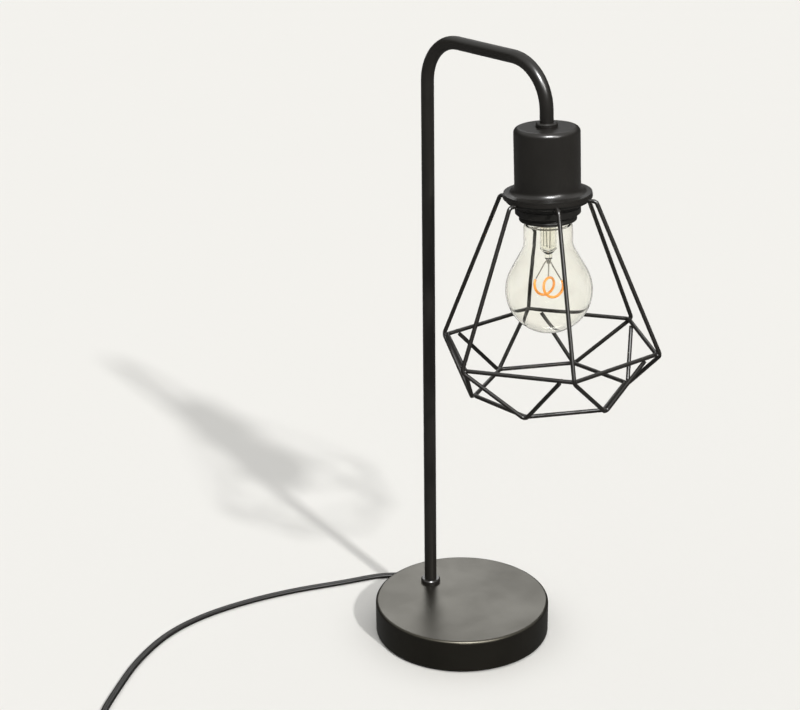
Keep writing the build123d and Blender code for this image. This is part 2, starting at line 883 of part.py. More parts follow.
insulator_top = cap_top + insulator_height
with BuildPart() as bulb_insulator:
    with BuildSketch(head_section):
        outline([
            (0, cap_top), (insulator_radius, cap_top), (insulator_radius, cap_top + insulator_edge),
            (tip_radius + insulator_edge, insulator_top), (0, insulator_top),
        ])
    revolve(axis=head_axis)
write(bulb_insulator, "bulb_insulator")

with BuildPart() as bulb_eyelet:
    with BuildSketch(head_section):
        outline([
            (0, insulator_top), (tip_radius, insulator_top),
            (tip_radius, insulator_top + tip_thickness / 2),
            (tip_radius - tip_thickness, tip_top), (0, tip_top),
        ])
    revolve(axis=head_axis)
write(bulb_eyelet, "bulb_eyelet")

with BuildPart() as bulb_driver:
    with BuildSketch(head_level(glass_stem_top)):
        Circle(driver_radius)
    extrude(amount=driver_height)
write(bulb_driver, "bulb_driver")

# The filament is a flexible strip curled about a tilted axis
filament_side = radians(filament_heading)
filament_down = radians(filament_tilt)
level_way = head_side * cos(filament_side) + Vector(0, sin(filament_side), 0)
filament_axis = (level_way * cos(filament_down) + head_up * sin(filament_down)).normalized()
filament_across = (head_up - filament_axis * head_up.dot(filament_axis)).normalized()
filament_beside = filament_axis.cross(filament_across)
filament_centre = head_origin + head_up * filament_middle


def filament_place(turn):
    """A point on the filament's curl, from its angle from the middle in radians."""
    along = filament_axis * (filament_pitch * turn / (2 * pi))
    round_about = filament_across * cos(turn) + filament_beside * sin(turn)
    return filament_centre + along + round_about * filament_loop


filament_half = filament_turns * pi
with BuildPart() as bulb_filament:
    with BuildLine() as filament_path:
        smooth_arcs(filament_place, -filament_half, filament_half, round(filament_turns * 4))
    filament_wire = Wire(filament_path.edges())
    with BuildSketch(Plane(filament_wire @ 0, z_dir=filament_wire % 0)):
        Circle(filament_radius)
    sweep(path=filament_wire)
write(bulb_filament, "bulb_filament")

# A post with a glass bead carries the middle of the curl, and two leads feed its ends
post_top = head_point(0, 0, pinch_end)
post_knee = head_point(0, 0, post_bend_height)
post_foot = filament_place(0) + filament_across * filament_radius
with BuildPart() as filament_post:
    with BuildLine() as post_path:
        FilletPolyline(post_top, post_knee, post_foot, radius=post_bend)
    with BuildSketch(head_level(pinch_end)):
        Circle(post_radius)
    sweep(path=Wire(post_path.edges()))
    with Locations(head_point(0, 0, bead_height)):
        Sphere(bead_radius)
write(filament_post, "filament_post")

with BuildPart() as bulb_leads:
    for end_place in (-filament_half, filament_half):
        side = -1 if end_place < 0 else 1
        lead_top = head_point(0, 0, pinch_end) + level_way * (side * lead_spread)
        lead_knee = lead_top + head_down * lead_spread * 2 + level_way * (side * lead_spread)
        strand_end = filament_place(end_place)
        lead_end = strand_end + (lead_knee - strand_end).normalized() * filament_radius
        lead_route = [lead_top, lead_top + head_down * lead_spread, lead_knee, lead_end]
        with BuildLine() as lead_path:
            FilletPolyline(*lead_route, radius=lead_radius)
        with BuildSketch(Plane(lead_top, z_dir=head_down)):
            Circle(lead_radius)
        sweep(path=Wire(lead_path.edges()))
write(bulb_leads, "bulb_leads")

# The cord's route on the surface, in stretches that meet end to end
cord_height = flex_thickness / 2 + floor_gap
flex_section = (flex_width - flex_thickness) * flex_thickness + pi * flex_thickness ** 2 / 4
route_to_switch = [
    (-83.6, 22.7, 4.0),
    (-89.1, 20.6, 2.5),
    (-95.6, 15.4, 1.65),
    (-105.3, 2.6, 1.65),
    (-114.6, -23.4, 1.65),
    (-132.2, -63.0, 1.65),
    (-143.6, -103.0, 1.65),
    (-148.8, -143.0, 1.65),
    (-144.5, -180.0, 1.65),
    (-126.5, -219.5, 1.65),
    (-102.5, -253.0, 1.65),
    (-80.5, -281.5, 1.65),
    (-59.7, -288.7, 1.65),
    (-38.4, -283.4, 1.65),
    (-24.5, -269.0, 1.65),
    (-13.9, -257.0, 3.6),
    (-5.2, -247.4, 3.6),
]
coil_half = coil_turns * pi


def coil_place(turn):
    """A point on the coil, from its angle in radians each side of the innermost point."""
    radius = coil_inner + coil_pitch * abs(turn) / (2 * pi)
    climb = (1 + sin(max(-pi / 2, min(pi / 2, turn)))) / 2
    angle = radians(coil_start) - (turn + coil_half)
    x = coil_centre[0] + radius * cos(angle)
    y = coil_centre[1] + radius * sin(angle)
    return Vector(x, y, cord_height + coil_layer * climb)


def flex_plane(wire):
    """The plane across the start of a wire, with its first direction level."""
    return Plane(wire @ 0, x_dir=flat_side(wire % 0), z_dir=wire % 0)


coil_in = coil_place(-coil_half)
coil_out = coil_place(coil_half)
small_turn = 1e-4
coil_in_dir = (coil_place(small_turn - coil_half) - coil_in).normalized()
coil_out_dir = (coil_out - coil_place(coil_half - small_turn)).normalized()
coil_lead = coil_in - coil_in_dir * coil_lead_run
coil_leave = coil_out + coil_out_dir * coil_lead_run
route_to_coil = [
    (26.98, -211.79, 3.6),
    (35.7, -202.14, 3.6),
    (coil_lead.X, coil_lead.Y, coil_lead.Z),
    (coil_in.X, coil_in.Y, coil_in.Z),
]
route_to_plug = [
    (coil_out.X, coil_out.Y, coil_out.Z),
    (coil_leave.X, coil_leave.Y, coil_leave.Z),
    (138.0, -204.6, 1.65),
    (142.9, -220.9, 1.65),
    (139.1, -237.5, 1.65),
    (126.4, -251.6, 6.85),
    (119.7, -259.0, 6.85),
]

# Each stretch is swept from its far end, where it is level
for cord_name, route in (
    ("cord_free", route_to_switch), ("cord_mid", route_to_coil), ("cord_tail", route_to_plug),
):
    radii = bend_radii(route)
    with BuildPart() as cord_stretch:
        with BuildLine() as stretch_path:
            FilletPolyline(*reversed(route), radius=list(reversed(radii)))
        stretch_wire = Wire(stretch_path.edges())
        with BuildSketch(flex_plane(stretch_wire)):
            SlotOverall(flex_width, flex_thickness)
        sweep(path=stretch_wire)
    print(cord_name, "radii", [round(r, 1) for r in radii])
    report(cord_name, cord_stretch, stretch_wire.length, flex_section)
    write(cord_stretch, cord_name)

# The coil's flat section is held level by a copy of its line above it
with BuildPart() as cord_coil:
    with BuildLine() as coil_path:
        smooth_arcs(coil_place, -coil_half, coil_half, round(coil_turns * coil_steps))
    coil_wire = Wire(coil_path.edges())
    flex_guide = coil_wire.moved(Location((0, 0, 2 * flex_width)))
    with BuildSketch(flex_plane(coil_wire)):
        SlotOverall(flex_width, flex_thickness)
    sweep(path=coil_wire, binormal=flex_guide)
report("cord_coil", cord_coil, coil_wire.length, flex_section)
write(cord_coil, "cord_coil")


def least_coil_gap():
    """The least gap between turns of the coil, measured on points along it."""
    count = 1500
    turns = [coil_half * (2 * i / count - 1) for i in range(count + 1)]
    spots = [coil_place(turn) for turn in turns]
    least = flex_width
    reach = (flex_width - flex_thickness) / 2
    for i, here in enumerate(spots):
        for j in range(i + 1, count + 1):
            if turns[j] - turns[i] < pi:
                continue
            there = spots[j]
            flat = sqrt((here.X - there.X) ** 2 + (here.Y - there.Y) ** 2) - 2 * reach
            gap = sqrt(max(flat, 0) ** 2 + (here.Z - there.Z) ** 2) - flex_thickness
            least = min(least, gap)
    return least


print("cord_coil least gap to itself", round(least_coil_gap(), 2))

# The inline switch, two shells with a rocker on a pin
switch_way = Vector(cos(radians(switch_heading)), sin(radians(switch_heading)), 0)
switch_floor = Plane((*switch_centre, 0), x_dir=switch_way, z_dir=(0, 0, 1))
switch_side = Plane((*switch_centre, 0), x_dir=switch_way, z_dir=(switch_way.Y, -switch_way.X, 0))
cavity_length = switch_length - 2 * (socket_depth + switch_wall)
cavity_width = switch_width - 2 * switch_wall
cavity_corner = switch_corner - switch_wall
screw_places = [switch_screw_place, (-switch_screw_place[0], -switch_screw_place[1])]
socket_planes = [
    Plane(
        switch_floor.from_local_coords((end * (switch_length / 2 - socket_depth), 0,
                                        switch_entry_height)),
        x_dir=flat_side(switch_way), z_dir=switch_way * end,
    )
    for end in (-1, 1)
]

with BuildPart() as switch_base:
    with BuildSketch(switch_floor):
        RectangleRounded(switch_length, switch_width, switch_corner)
    extrude(amount=switch_split)
    fillet(switch_base.edges().group_by(Axis.Z)[0], switch_foot)
    with BuildSketch(switch_floor.offset(switch_wall)):
        RectangleRounded(cavity_length, cavity_width, cavity_corner)
    extrude(amount=switch_split, mode=Mode.SUBTRACT)
    with BuildSketch(switch_floor.offset(switch_wall)):
        with Locations(*screw_places):
            Circle(switch_boss_radius)
    extrude(amount=switch_split - switch_wall)
    with BuildSketch(switch_floor):
        with Locations(*screw_places):
            Circle(switch_head_radius + fit_gap)
    extrude(amount=switch_head, mode=Mode.SUBTRACT)
    with BuildSketch(switch_floor.offset(switch_head)):
        with Locations(*screw_places):
            Circle(switch_screw_radius + fit_gap)
    extrude(amount=switch_split, mode=Mode.SUBTRACT)
    for socket in socket_planes:
        with BuildSketch(socket):
            SlotOverall(flex_width + 2 * cord_slip, flex_thickness + 2 * cord_slip)
        extrude(amount=switch_length, mode=Mode.SUBTRACT)
write(switch_base, "switch_base")

window_length = rocker_length + 2 * rocker_end * sin(radians(rocker_tilt)) + 2 * rocker_slip
window_width = rocker_width + 2 * rocker_slip
cheek_place = window_width / 2 + cheek_thickness / 2
cover_ceiling = switch_height - switch_wall

with BuildPart() as switch_cover:
    with BuildSketch(switch_floor.offset(switch_split)):
        RectangleRounded(switch_length, switch_width, switch_corner)
    extrude(amount=switch_height - switch_split)
    fillet(switch_cover.edges().group_by(Axis.Z)[-1], switch_edge)
    with BuildSketch(switch_floor.offset(switch_split)):
        RectangleRounded(cavity_length, cavity_width, cavity_corner)
    extrude(amount=cover_ceiling - switch_split, mode=Mode.SUBTRACT)
    with BuildSketch(switch_floor.offset(switch_split)):
        with Locations((0, cheek_place), (0, -cheek_place)):
            Rectangle(cheek_length, cheek_thickness)
    extrude(amount=cover_ceiling - switch_split)
    with BuildSketch(switch_floor.offset(switch_split)):
        with Locations(*screw_places):
            Circle(switch_boss_radius)
    extrude(amount=cover_ceiling - switch_split)
    with BuildSketch(switch_floor.offset(switch_split)):
        with Locations(*screw_places):
            Circle(switch_screw_radius + fit_gap)
    extrude(amount=boss_screw_depth, mode=Mode.SUBTRACT)
    with BuildSketch(switch_floor.offset(cover_ceiling)):
        Rectangle(window_length, window_width)
    extrude(amount=switch_wall, mode=Mode.SUBTRACT)
    with BuildSketch(switch_side):
        with Locations((0, rocker_pivot)):
            Circle(rocker_pin_radius + fit_gap)
    extrude(amount=cheek_place + cheek_thickness / 2, both=True, mode=Mode.SUBTRACT)
write(switch_cover, "switch_cover")

with BuildPart() as rocker_pin:
    with BuildSketch(switch_side):
        with Locations((0, rocker_pivot)):
            Circle(rocker_pin_radius)
    extrude(amount=cheek_place + cheek_thickness / 2, both=True)
write(rocker_pin, "rocker_pin")

rocker_half = rocker_length / 2
with BuildPart() as switch_rocker:
    with BuildSketch(switch_side):
        with Locations((0, rocker_pivot)):
            Polygon(
                (-rocker_half, rocker_end), (0, rocker_waist), (rocker_half, rocker_end),
                (rocker_half, 0), (rocker_half / 2, -rocker_belly),
                (-rocker_half / 2, -rocker_belly), (-rocker_half, 0),
                rotation=rocker_tilt, align=None,
            )
            Circle(rocker_pin_radius + fit_gap, mode=Mode.SUBTRACT)
    extrude(amount=rocker_width / 2, both=True)
write(switch_rocker, "switch_rocker")

with BuildPart() as switch_contacts:
    with BuildSketch(switch_floor.offset(switch_wall)):
        with Locations(strip_place, (-strip_place[0], strip_place[1])):
            Rectangle(strip_length, strip_width)
    extrude(amount=strip_thickness)
    with BuildSketch(switch_floor.offset(switch_wall + strip_thickness)):
        with Locations((strip_place[0] - strip_bump, 0), (strip_bump - strip_place[0], 0)):
            Rectangle(strip_bump, strip_width)
    extrude(amount=strip_bump)
write(switch_contacts, "switch_contacts")

screw_reach = switch_split - switch_head + boss_screw_depth - screw_end_gap
with BuildPart() as switch_screws:
    with BuildSketch(switch_floor.offset(switch_head)):
        with Locations(*screw_places):
            Circle(switch_screw_radius)
    extrude(amount=screw_reach)
    with BuildSketch(switch_floor.offset(switch_foot)):
        with Locations(*screw_places):
            Circle(switch_head_radius)
    extrude(amount=switch_head - switch_foot)
write(switch_screws, "switch_screws")

# The plug lies flat beside the coil, with its own relief on the cord
plug_start = Vector(*route_to_plug[-1])
plug_way = (plug_start - Vector(*route_to_plug[-2])).normalized()
plug_across = flat_side(plug_way)


def plug_level(distance):
    """The plane square to the plug's axis at a distance from the end of the cord."""
    return Plane(plug_start + plug_way * distance, x_dir=plug_across, z_dir=plug_way)


rib_pitch = plug_relief_length / (plug_ribs + 1)
relief_root_width = plug_back_width - 2 * plug_relief_step
relief_root_thickness = plug_back_thickness - 2 * plug_relief_step
with BuildPart() as plug_relief:
    with BuildSketch(plug_level(0)):
        RectangleRounded(relief_tip_width, relief_tip_thickness, relief_corner)
    with BuildSketch(plug_level(plug_relief_length)):
        RectangleRounded(relief_root_width, relief_root_thickness, relief_corner)
    loft()
    for rib in range(1, plug_ribs + 1):
        share = rib / (plug_ribs + 1)
        width = relief_tip_width + (relief_root_width - relief_tip_width) * share
        height = relief_tip_thickness + (relief_root_thickness - relief_tip_thickness) * share
        with BuildSketch(plug_level(rib * rib_pitch - plug_rib_width / 2)):
            Rectangle(2 * plug_back_width, 2 * plug_back_thickness)
            RectangleRounded(
                width - 2 * plug_rib_depth, height - 2 * plug_rib_depth,
                relief_corner - plug_rib_depth, mode=Mode.SUBTRACT,
            )
        extrude(amount=plug_rib_width, mode=Mode.SUBTRACT)
write(plug_relief, "plug_relief")


def plug_outline():
    """The six sided section of the plug's front, flat below and above."""
    outline([
        (plug_width / 2, 0), (plug_flat / 2, plug_thickness / 2),
        (-plug_flat / 2, plug_thickness / 2), (-plug_width / 2, 0),
        (-plug_flat / 2, -plug_thickness / 2), (plug_flat / 2, -plug_thickness / 2),
    ])


front_start = plug_relief_length + plug_length - plug_front
pin_places = [(pin_spacing / 2, 0), (-pin_spacing / 2, 0)]
plug_face = plug_relief_length + plug_length

with BuildPart() as plug_body:
    with BuildSketch(plug_level(front_start)):
        plug_outline()
    extrude(amount=plug_front)
    with BuildSketch(plug_level(front_start)):
        plug_outline()
    with BuildSketch(plug_level(plug_relief_length)):
        outline([
            (plug_back_width / 2, 0), (plug_back_width / 2 - plug_back_corner, plug_back_thickness / 2),
            (plug_back_corner - plug_back_width / 2, plug_back_thickness / 2),
            (-plug_back_width / 2, 0),
            (plug_back_corner - plug_back_width / 2, -plug_back_thickness / 2),
            (plug_back_width / 2 - plug_back_corner, -plug_back_thickness / 2),
        ])
    loft()
    with BuildSketch(plug_level(plug_face - pin_root)):
        with Locations(*pin_places):
            Circle(pin_radius)
    extrude(amount=pin_root, mode=Mode.SUBTRACT)
write(plug_body, "plug_body")

with BuildPart() as plug_pins:
    with BuildSketch(plug_level(plug_face - pin_root)):
        with Locations(*pin_places):
            Circle(pin_radius)
    extrude(amount=pin_root + pin_length)
    tips = plug_pins.edges().filter_by(GeomType.CIRCLE).sort_by(Axis(plug_start, plug_way))[-2:]
    chamfer(tips, pin_tip)
write(plug_pins, "plug_pins")
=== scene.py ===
import json
from math import cos, pi, radians, sin

import bpy
import numpy as np
from mathutils import Matrix, Vector


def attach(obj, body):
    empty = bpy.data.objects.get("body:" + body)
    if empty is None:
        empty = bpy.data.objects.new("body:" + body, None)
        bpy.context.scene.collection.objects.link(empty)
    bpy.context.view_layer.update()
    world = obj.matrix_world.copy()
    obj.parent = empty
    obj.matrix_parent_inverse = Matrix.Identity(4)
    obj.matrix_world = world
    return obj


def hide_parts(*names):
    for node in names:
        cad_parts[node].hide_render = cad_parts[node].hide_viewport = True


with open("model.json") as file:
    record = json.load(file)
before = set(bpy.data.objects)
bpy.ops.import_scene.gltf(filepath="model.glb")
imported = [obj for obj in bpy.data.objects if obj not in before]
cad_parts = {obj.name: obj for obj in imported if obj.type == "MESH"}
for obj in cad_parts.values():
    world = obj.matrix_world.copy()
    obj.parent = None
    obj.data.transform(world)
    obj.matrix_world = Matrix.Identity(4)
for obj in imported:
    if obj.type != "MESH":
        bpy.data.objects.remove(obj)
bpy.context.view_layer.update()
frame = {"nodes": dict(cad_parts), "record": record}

# The finish of a wire table lamp: powder coated base, stem, cup and cage, a moulded
# lampholder, a tinted filament bulb, and a flat flex with its switch and plug.
# Metres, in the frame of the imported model: +Z up, +X from the stem to the head.

nodes = frame["nodes"]
slot_of = {entry["node"]: entry["material_slot"] for entry in frame["record"]["subparts"]}
MM = 0.001


# Camera, at the photograph's viewing angle
CAMERA_PLACE = (0.928917, -0.858536, 0.747502)
CAMERA_HEADING = 139.328
CAMERA_PITCH = -22.2195
CAMERA_ROLL = -0.738
CAMERA_LENS = 83.41
CAMERA_SENSOR = 36.0

# Light: an even pale studio, a key from the right, a softbox behind and a strip in front
KEY_HEADING = -9.0
KEY_HEIGHT = 35.5
KEY_SPREAD = 3.0
KEY_STRENGTH = 2.0
KEY_COLOUR = (1.0, 0.985, 0.955)
ROOM_STRENGTH = 0.97
ROOM_BELOW = 0.13
ROOM_COLOUR = (1.0, 0.992, 0.965)
HORIZON_STRENGTH = 0.04
HORIZON_LOW = 18.0
HORIZON_HIGH = 40.0
BOX_AIM = (0.0, 0.0, 0.0265)
BOX_HEADING = 139.0
BOX_HEIGHT = 31.0
BOX_DISTANCE = 1.3
BOX_SIZE = (0.8, 0.5)
BOX_BEAM = 28.0
BOX_POWER = 0.18
STRIP_AIM = (0.09, 0.0, 0.40)
STRIP_HEADING = -36.0
STRIP_HEIGHT = 52.0
STRIP_DISTANCE = 1.7
STRIP_SIZE = (0.25, 0.16)
STRIP_BEAM = 180.0
STRIP_POWER = 96.0
FLOOR_COLOUR = (0.80, 0.797, 0.785)
FLOOR_SIZE = 24.0


def direction(heading, height):
    """The unit vector towards a heading from +X and a height above the horizon, in degrees."""
    level = cos(radians(height))
    return Vector((level * cos(radians(heading)), level * sin(radians(heading)),
                   sin(radians(height))))


def link(obj):
    """Puts an object in the scene and returns it."""
    bpy.context.scene.collection.objects.link(obj)
    return obj


def place_camera():
    """The camera looks along its heading and pitch, rolled a little about that line."""
    forward = direction(CAMERA_HEADING, CAMERA_PITCH)
    level = forward.cross(Vector((0, 0, 1))).normalized()
    above = level.cross(forward)
    roll = radians(CAMERA_ROLL)
    right = level * cos(roll) + above * sin(roll)
    up = above * cos(roll) - level * sin(roll)
    data = bpy.data.cameras.new("photo_camera")
    data.lens = CAMERA_LENS
    data.sensor_width = CAMERA_SENSOR
    data.sensor_fit = "HORIZONTAL"
    data.clip_start = 0.01
    data.clip_end = 100.0
    camera = link(bpy.data.objects.new("photo_camera", data))
    turn = Matrix((right, up, -forward)).transposed().to_4x4()
    camera.matrix_world = Matrix.Translation(CAMERA_PLACE) @ turn
    bpy.context.scene.camera = camera


def glint_light(name, aim, heading, height, distance, size, beam, power):
    """An area lamp that faces a point from a heading and height, seen only in the gloss.

    beam is the angle in degrees that its light keeps within, as a grid on a softbox does.
    """
    data = bpy.data.lights.new(name, "AREA")
    data.shape = "RECTANGLE"
    data.size, data.size_y = size
    data.spread = radians(beam)
    data.energy = power
    lamp = link(bpy.data.objects.new(name, data))
    towards = direction(heading, height)
    lamp.location = Vector(aim) + towards * distance
    lamp.rotation_euler = towards.to_track_quat("Z", "Y").to_euler()
    lamp.visible_camera = False
    lamp.visible_diffuse = False


def light_studio():
    """A pale room with a dim horizon, a soft key lamp, a softbox behind and a strip in front."""
    world = bpy.data.worlds.new("studio_room")
    bpy.context.scene.world = world
    world.use_nodes = True
    tree = world.node_tree
    background = tree.nodes["Background"]
    place = tree.nodes.new("ShaderNodeTexCoord")
    height = tree.nodes.new("ShaderNodeSeparateXYZ")
    tree.links.new(place.outputs["Generated"], height.inputs[0])
    rise = tree.nodes.new("ShaderNodeMapRange")
    rise.interpolation_type = "SMOOTHSTEP"
    rise.inputs["From Min"].default_value = sin(radians(HORIZON_LOW))
    rise.inputs["From Max"].default_value = sin(radians(HORIZON_HIGH))
    rise.inputs["To Min"].default_value = HORIZON_STRENGTH
    rise.inputs["To Max"].default_value = ROOM_STRENGTH
    tree.links.new(height.outputs["Z"], rise.inputs["Value"])
    strength = tree.nodes.new("ShaderNodeMix")
    strength.inputs["A"].default_value = ROOM_BELOW
    above = math_node(tree, "GREATER_THAN", height.outputs["Z"], 0.0)
    tree.links.new(above, strength.inputs["Factor"])
    tree.links.new(rise.outputs["Result"], strength.inputs["B"])
    tree.links.new(strength.outputs["Result"], background.inputs["Strength"])
    background.inputs["Color"].default_value = (*ROOM_COLOUR, 1.0)

    key_data = bpy.data.lights.new("key_lamp", "SUN")
    key_data.energy = KEY_STRENGTH
    key_data.angle = radians(KEY_SPREAD)
    key_data.color = KEY_COLOUR
    key = link(bpy.data.objects.new("key_lamp", key_data))
    key.rotation_euler = direction(KEY_HEADING, KEY_HEIGHT).to_track_quat("Z", "Y").to_euler()

    glint_light("softbox_behind", BOX_AIM, BOX_HEADING, BOX_HEIGHT, BOX_DISTANCE, BOX_SIZE,
                BOX_BEAM, BOX_POWER)
    glint_light("front_strip", STRIP_AIM, STRIP_HEADING, STRIP_HEIGHT, STRIP_DISTANCE,
                STRIP_SIZE, STRIP_BEAM, STRIP_POWER)


def lay_floor():
    """A wide pale floor under the lamp."""
    half = FLOOR_SIZE / 2
    mesh = bpy.data.meshes.new("studio_floor")
    corners = [(-half, -half, 0), (half, -half, 0), (half, half, 0), (-half, half, 0)]
    mesh.from_pydata(corners, [], [(0, 1, 2, 3)])
    floor = link(bpy.data.objects.new("studio_floor", mesh))
    paint = bpy.data.materials.new("pale_floor")
    paint.use_nodes = True
    shader = paint.node_tree.nodes["Principled BSDF"]
    shader.inputs["Base Color"].default_value = (*FLOOR_COLOUR, 1.0)
    shader.inputs["Roughness"].default_value = 1.0
    shader.inputs["Specular IOR Level"].default_value = 0.0
    mesh.materials.append(paint)
    floor.visible_glossy = False


# Shader node groups that several finishes share. Peel and speckle ride on the grain, and an
# edge rubs where its rounded normal leaves the flat one, more so in the noise's patches.
PEEL_SCALE = 0.3
SPECKLE = 0.06
EDGE_START = 0.99
EDGE_FULL = 0.80
PATCH_LEVEL = 0.52
PATCH_RUB = 0.7
PLAIN_RUB = 0.3
STREAK_ROUGHNESS = 0.08
RUB_POLISH = 0.12


def group(name, inputs, outputs):
    """A new shader node group with named sockets, given as (name, kind, value)."""
    tree = bpy.data.node_groups.new(name, "ShaderNodeTree")
    for socket, kind, value in inputs:
        made = tree.interface.new_socket(name=socket, in_out="INPUT", socket_type=kind)
        made.default_value = value
    for socket, kind in outputs:
        tree.interface.new_socket(name=socket, in_out="OUTPUT", socket_type=kind)
    return tree, tree.nodes.new("NodeGroupInput"), tree.nodes.new("NodeGroupOutput")


def math_node(tree, operation, first, second):
    """A Math node on two sockets or numbers, and its result."""
    node = tree.nodes.new("ShaderNodeMath")
    node.operation = operation
    for socket, value in zip(node.inputs, (first, second)):
        if isinstance(value, (int, float)):
            socket.default_value = value
        else:
            tree.links.new(value, socket)
    return node.outputs[0]


def noise_node(tree, vector, scale, detail=3.0, roughness=0.5):
    """A noise field's value over a vector at a scale, from 0 to 1."""
    node = tree.nodes.new("ShaderNodeTexNoise")
    node.inputs["Detail"].default_value = detail
    node.inputs["Roughness"].default_value = roughness
    tree.links.new(vector, node.inputs["Vector"])
    if isinstance(scale, (int, float)):
        node.inputs["Scale"].default_value = scale
    else:
        tree.links.new(scale, node.inputs["Scale"])
    return node.outputs["Fac"]


def spread(tree, middle, amount, field):
    """middle + amount * (field - 0.5) * 2, which swings a value about its middle."""
    swing = math_node(tree, "MULTIPLY_ADD", field, 2.0)
    swing.node.inputs[2].default_value = -1.0
    scaled = math_node(tree, "MULTIPLY", swing, amount)
    return math_node(tree, "ADD", scaled, middle)


def tinted(tree, colour, amount):
    """A colour times a value, with both as sockets."""
    node = tree.nodes.new("ShaderNodeVectorMath")
    node.operation = "SCALE"
    tree.links.new(colour, node.inputs[0])
    tree.links.new(amount, node.inputs["Scale"])
    return node.outputs[0]


def make_surface_group():
    """Clouds change the colour and the roughness slowly, and two grains give the height."""
    tree, start, end = group(
        "surface_variation",
        [
            ("Colour", "NodeSocketColor", (0.1, 0.1, 0.1, 1.0)),
            ("Colour Swing", "NodeSocketFloat", 0.1),
            ("Roughness", "NodeSocketFloat", 0.5),
            ("Roughness Swing", "NodeSocketFloat", 0.05),
            ("Cloud Scale", "NodeSocketFloat", 40.0),
            ("Grain Scale", "NodeSocketFloat", 1500.0),
            ("Orange Peel", "NodeSocketFloat", 0.4),
        ],
        [("Colour", "NodeSocketColor"), ("Roughness", "NodeSocketFloat"),
         ("Height", "NodeSocketFloat")],
    )
    spot = tree.nodes.new("ShaderNodeTexCoord").outputs["Object"]
    clouds = noise_node(tree, spot, start.outputs["Cloud Scale"], 4.0, 0.55)
    fine = noise_node(tree, spot, start.outputs["Grain Scale"], 2.0, 0.6)
    peel_scale = math_node(tree, "MULTIPLY", start.outputs["Grain Scale"], PEEL_SCALE)
    peel = noise_node(tree, spot, peel_scale, 2.0, 0.5)
    tone = spread(tree, 1.0, start.outputs["Colour Swing"], clouds)
    speckle = spread(tree, 1.0, SPECKLE, fine)
    shade = math_node(tree, "MULTIPLY", tone, speckle)
    tree.links.new(tinted(tree, start.outputs["Colour"], shade), end.inputs["Colour"])
    rough = spread(tree, start.outputs["Roughness"], start.outputs["Roughness Swing"], clouds)
    tree.links.new(rough, end.inputs["Roughness"])
    peel_part = math_node(tree, "MULTIPLY", peel, start.outputs["Orange Peel"])
    tree.links.new(math_node(tree, "ADD", fine, peel_part), end.inputs["Height"])
    return tree


def make_edge_group():
    """A mask of rubbed edges: where a rounded normal leaves the surface's own, broken by noise."""
    tree, start, end = group(
        "rubbed_edges",
        [("Reach", "NodeSocketFloat", 0.0006), ("Breakup Scale", "NodeSocketFloat", 250.0)],
        [("Mask", "NodeSocketFloat")],
    )
    rounded = tree.nodes.new("ShaderNodeBevel")
    rounded.samples = 4
    tree.links.new(start.outputs["Reach"], rounded.inputs["Radius"])
    flat = tree.nodes.new("ShaderNodeNewGeometry")
    meet = tree.nodes.new("ShaderNodeVectorMath")
    meet.operation = "DOT_PRODUCT"
    tree.links.new(rounded.outputs["Normal"], meet.inputs[0])
    tree.links.new(flat.outputs["Normal"], meet.inputs[1])
    ramp = tree.nodes.new("ShaderNodeMapRange")
    ramp.inputs["From Min"].default_value = EDGE_START
    ramp.inputs["From Max"].default_value = EDGE_FULL
    tree.links.new(meet.outputs["Value"], ramp.inputs["Value"])
    spot = tree.nodes.new("ShaderNodeTexCoord").outputs["Object"]
    breakup = noise_node(tree, spot, start.outputs["Breakup Scale"], 4.0, 0.7)
    patchy = math_node(tree, "GREATER_THAN", breakup, PATCH_LEVEL)
    soft = math_node(tree, "MULTIPLY_ADD", patchy, PATCH_RUB)
    soft.node.inputs[2].default_value = PLAIN_RUB
    tree.links.new(math_node(tree, "MULTIPLY", ramp.outputs["Result"], soft), end.inputs["Mask"])
    return tree


def make_streak_group():
    """Long fine lines around or along a piece, from noise stretched on one axis of a vector."""
    tree, start, end = group(
        "drawn_streaks",
        [("Vector", "NodeSocketVector", (0.0, 0.0, 0.0)), ("Scale", "NodeSocketFloat", 900.0),
         ("Stretch", "NodeSocketVector", (1.0, 1.0, 0.05))],
        [("Streaks", "NodeSocketFloat")],
    )
    squeeze = tree.nodes.new("ShaderNodeVectorMath")
    squeeze.operation = "MULTIPLY"
    tree.links.new(start.outputs["Vector"], squeeze.inputs[0])
    tree.links.new(start.outputs["Stretch"], squeeze.inputs[1])
    lines = noise_node(tree, squeeze.outputs[0], start.outputs["Scale"], 3.0, 0.6)
    tree.links.new(lines, end.inputs["Streaks"])
    return tree


surface_group = make_surface_group()
edge_group = make_edge_group()
streak_group = make_streak_group()


def place_group(tree, shared, **values):
    """A shared group placed in a material with its own values, by socket name."""
    node = tree.nodes.new("ShaderNodeGroup")
    node.node_tree = shared
    for name, value in values.items():
        node.inputs[name.replace("_", " ")].default_value = value
    return node


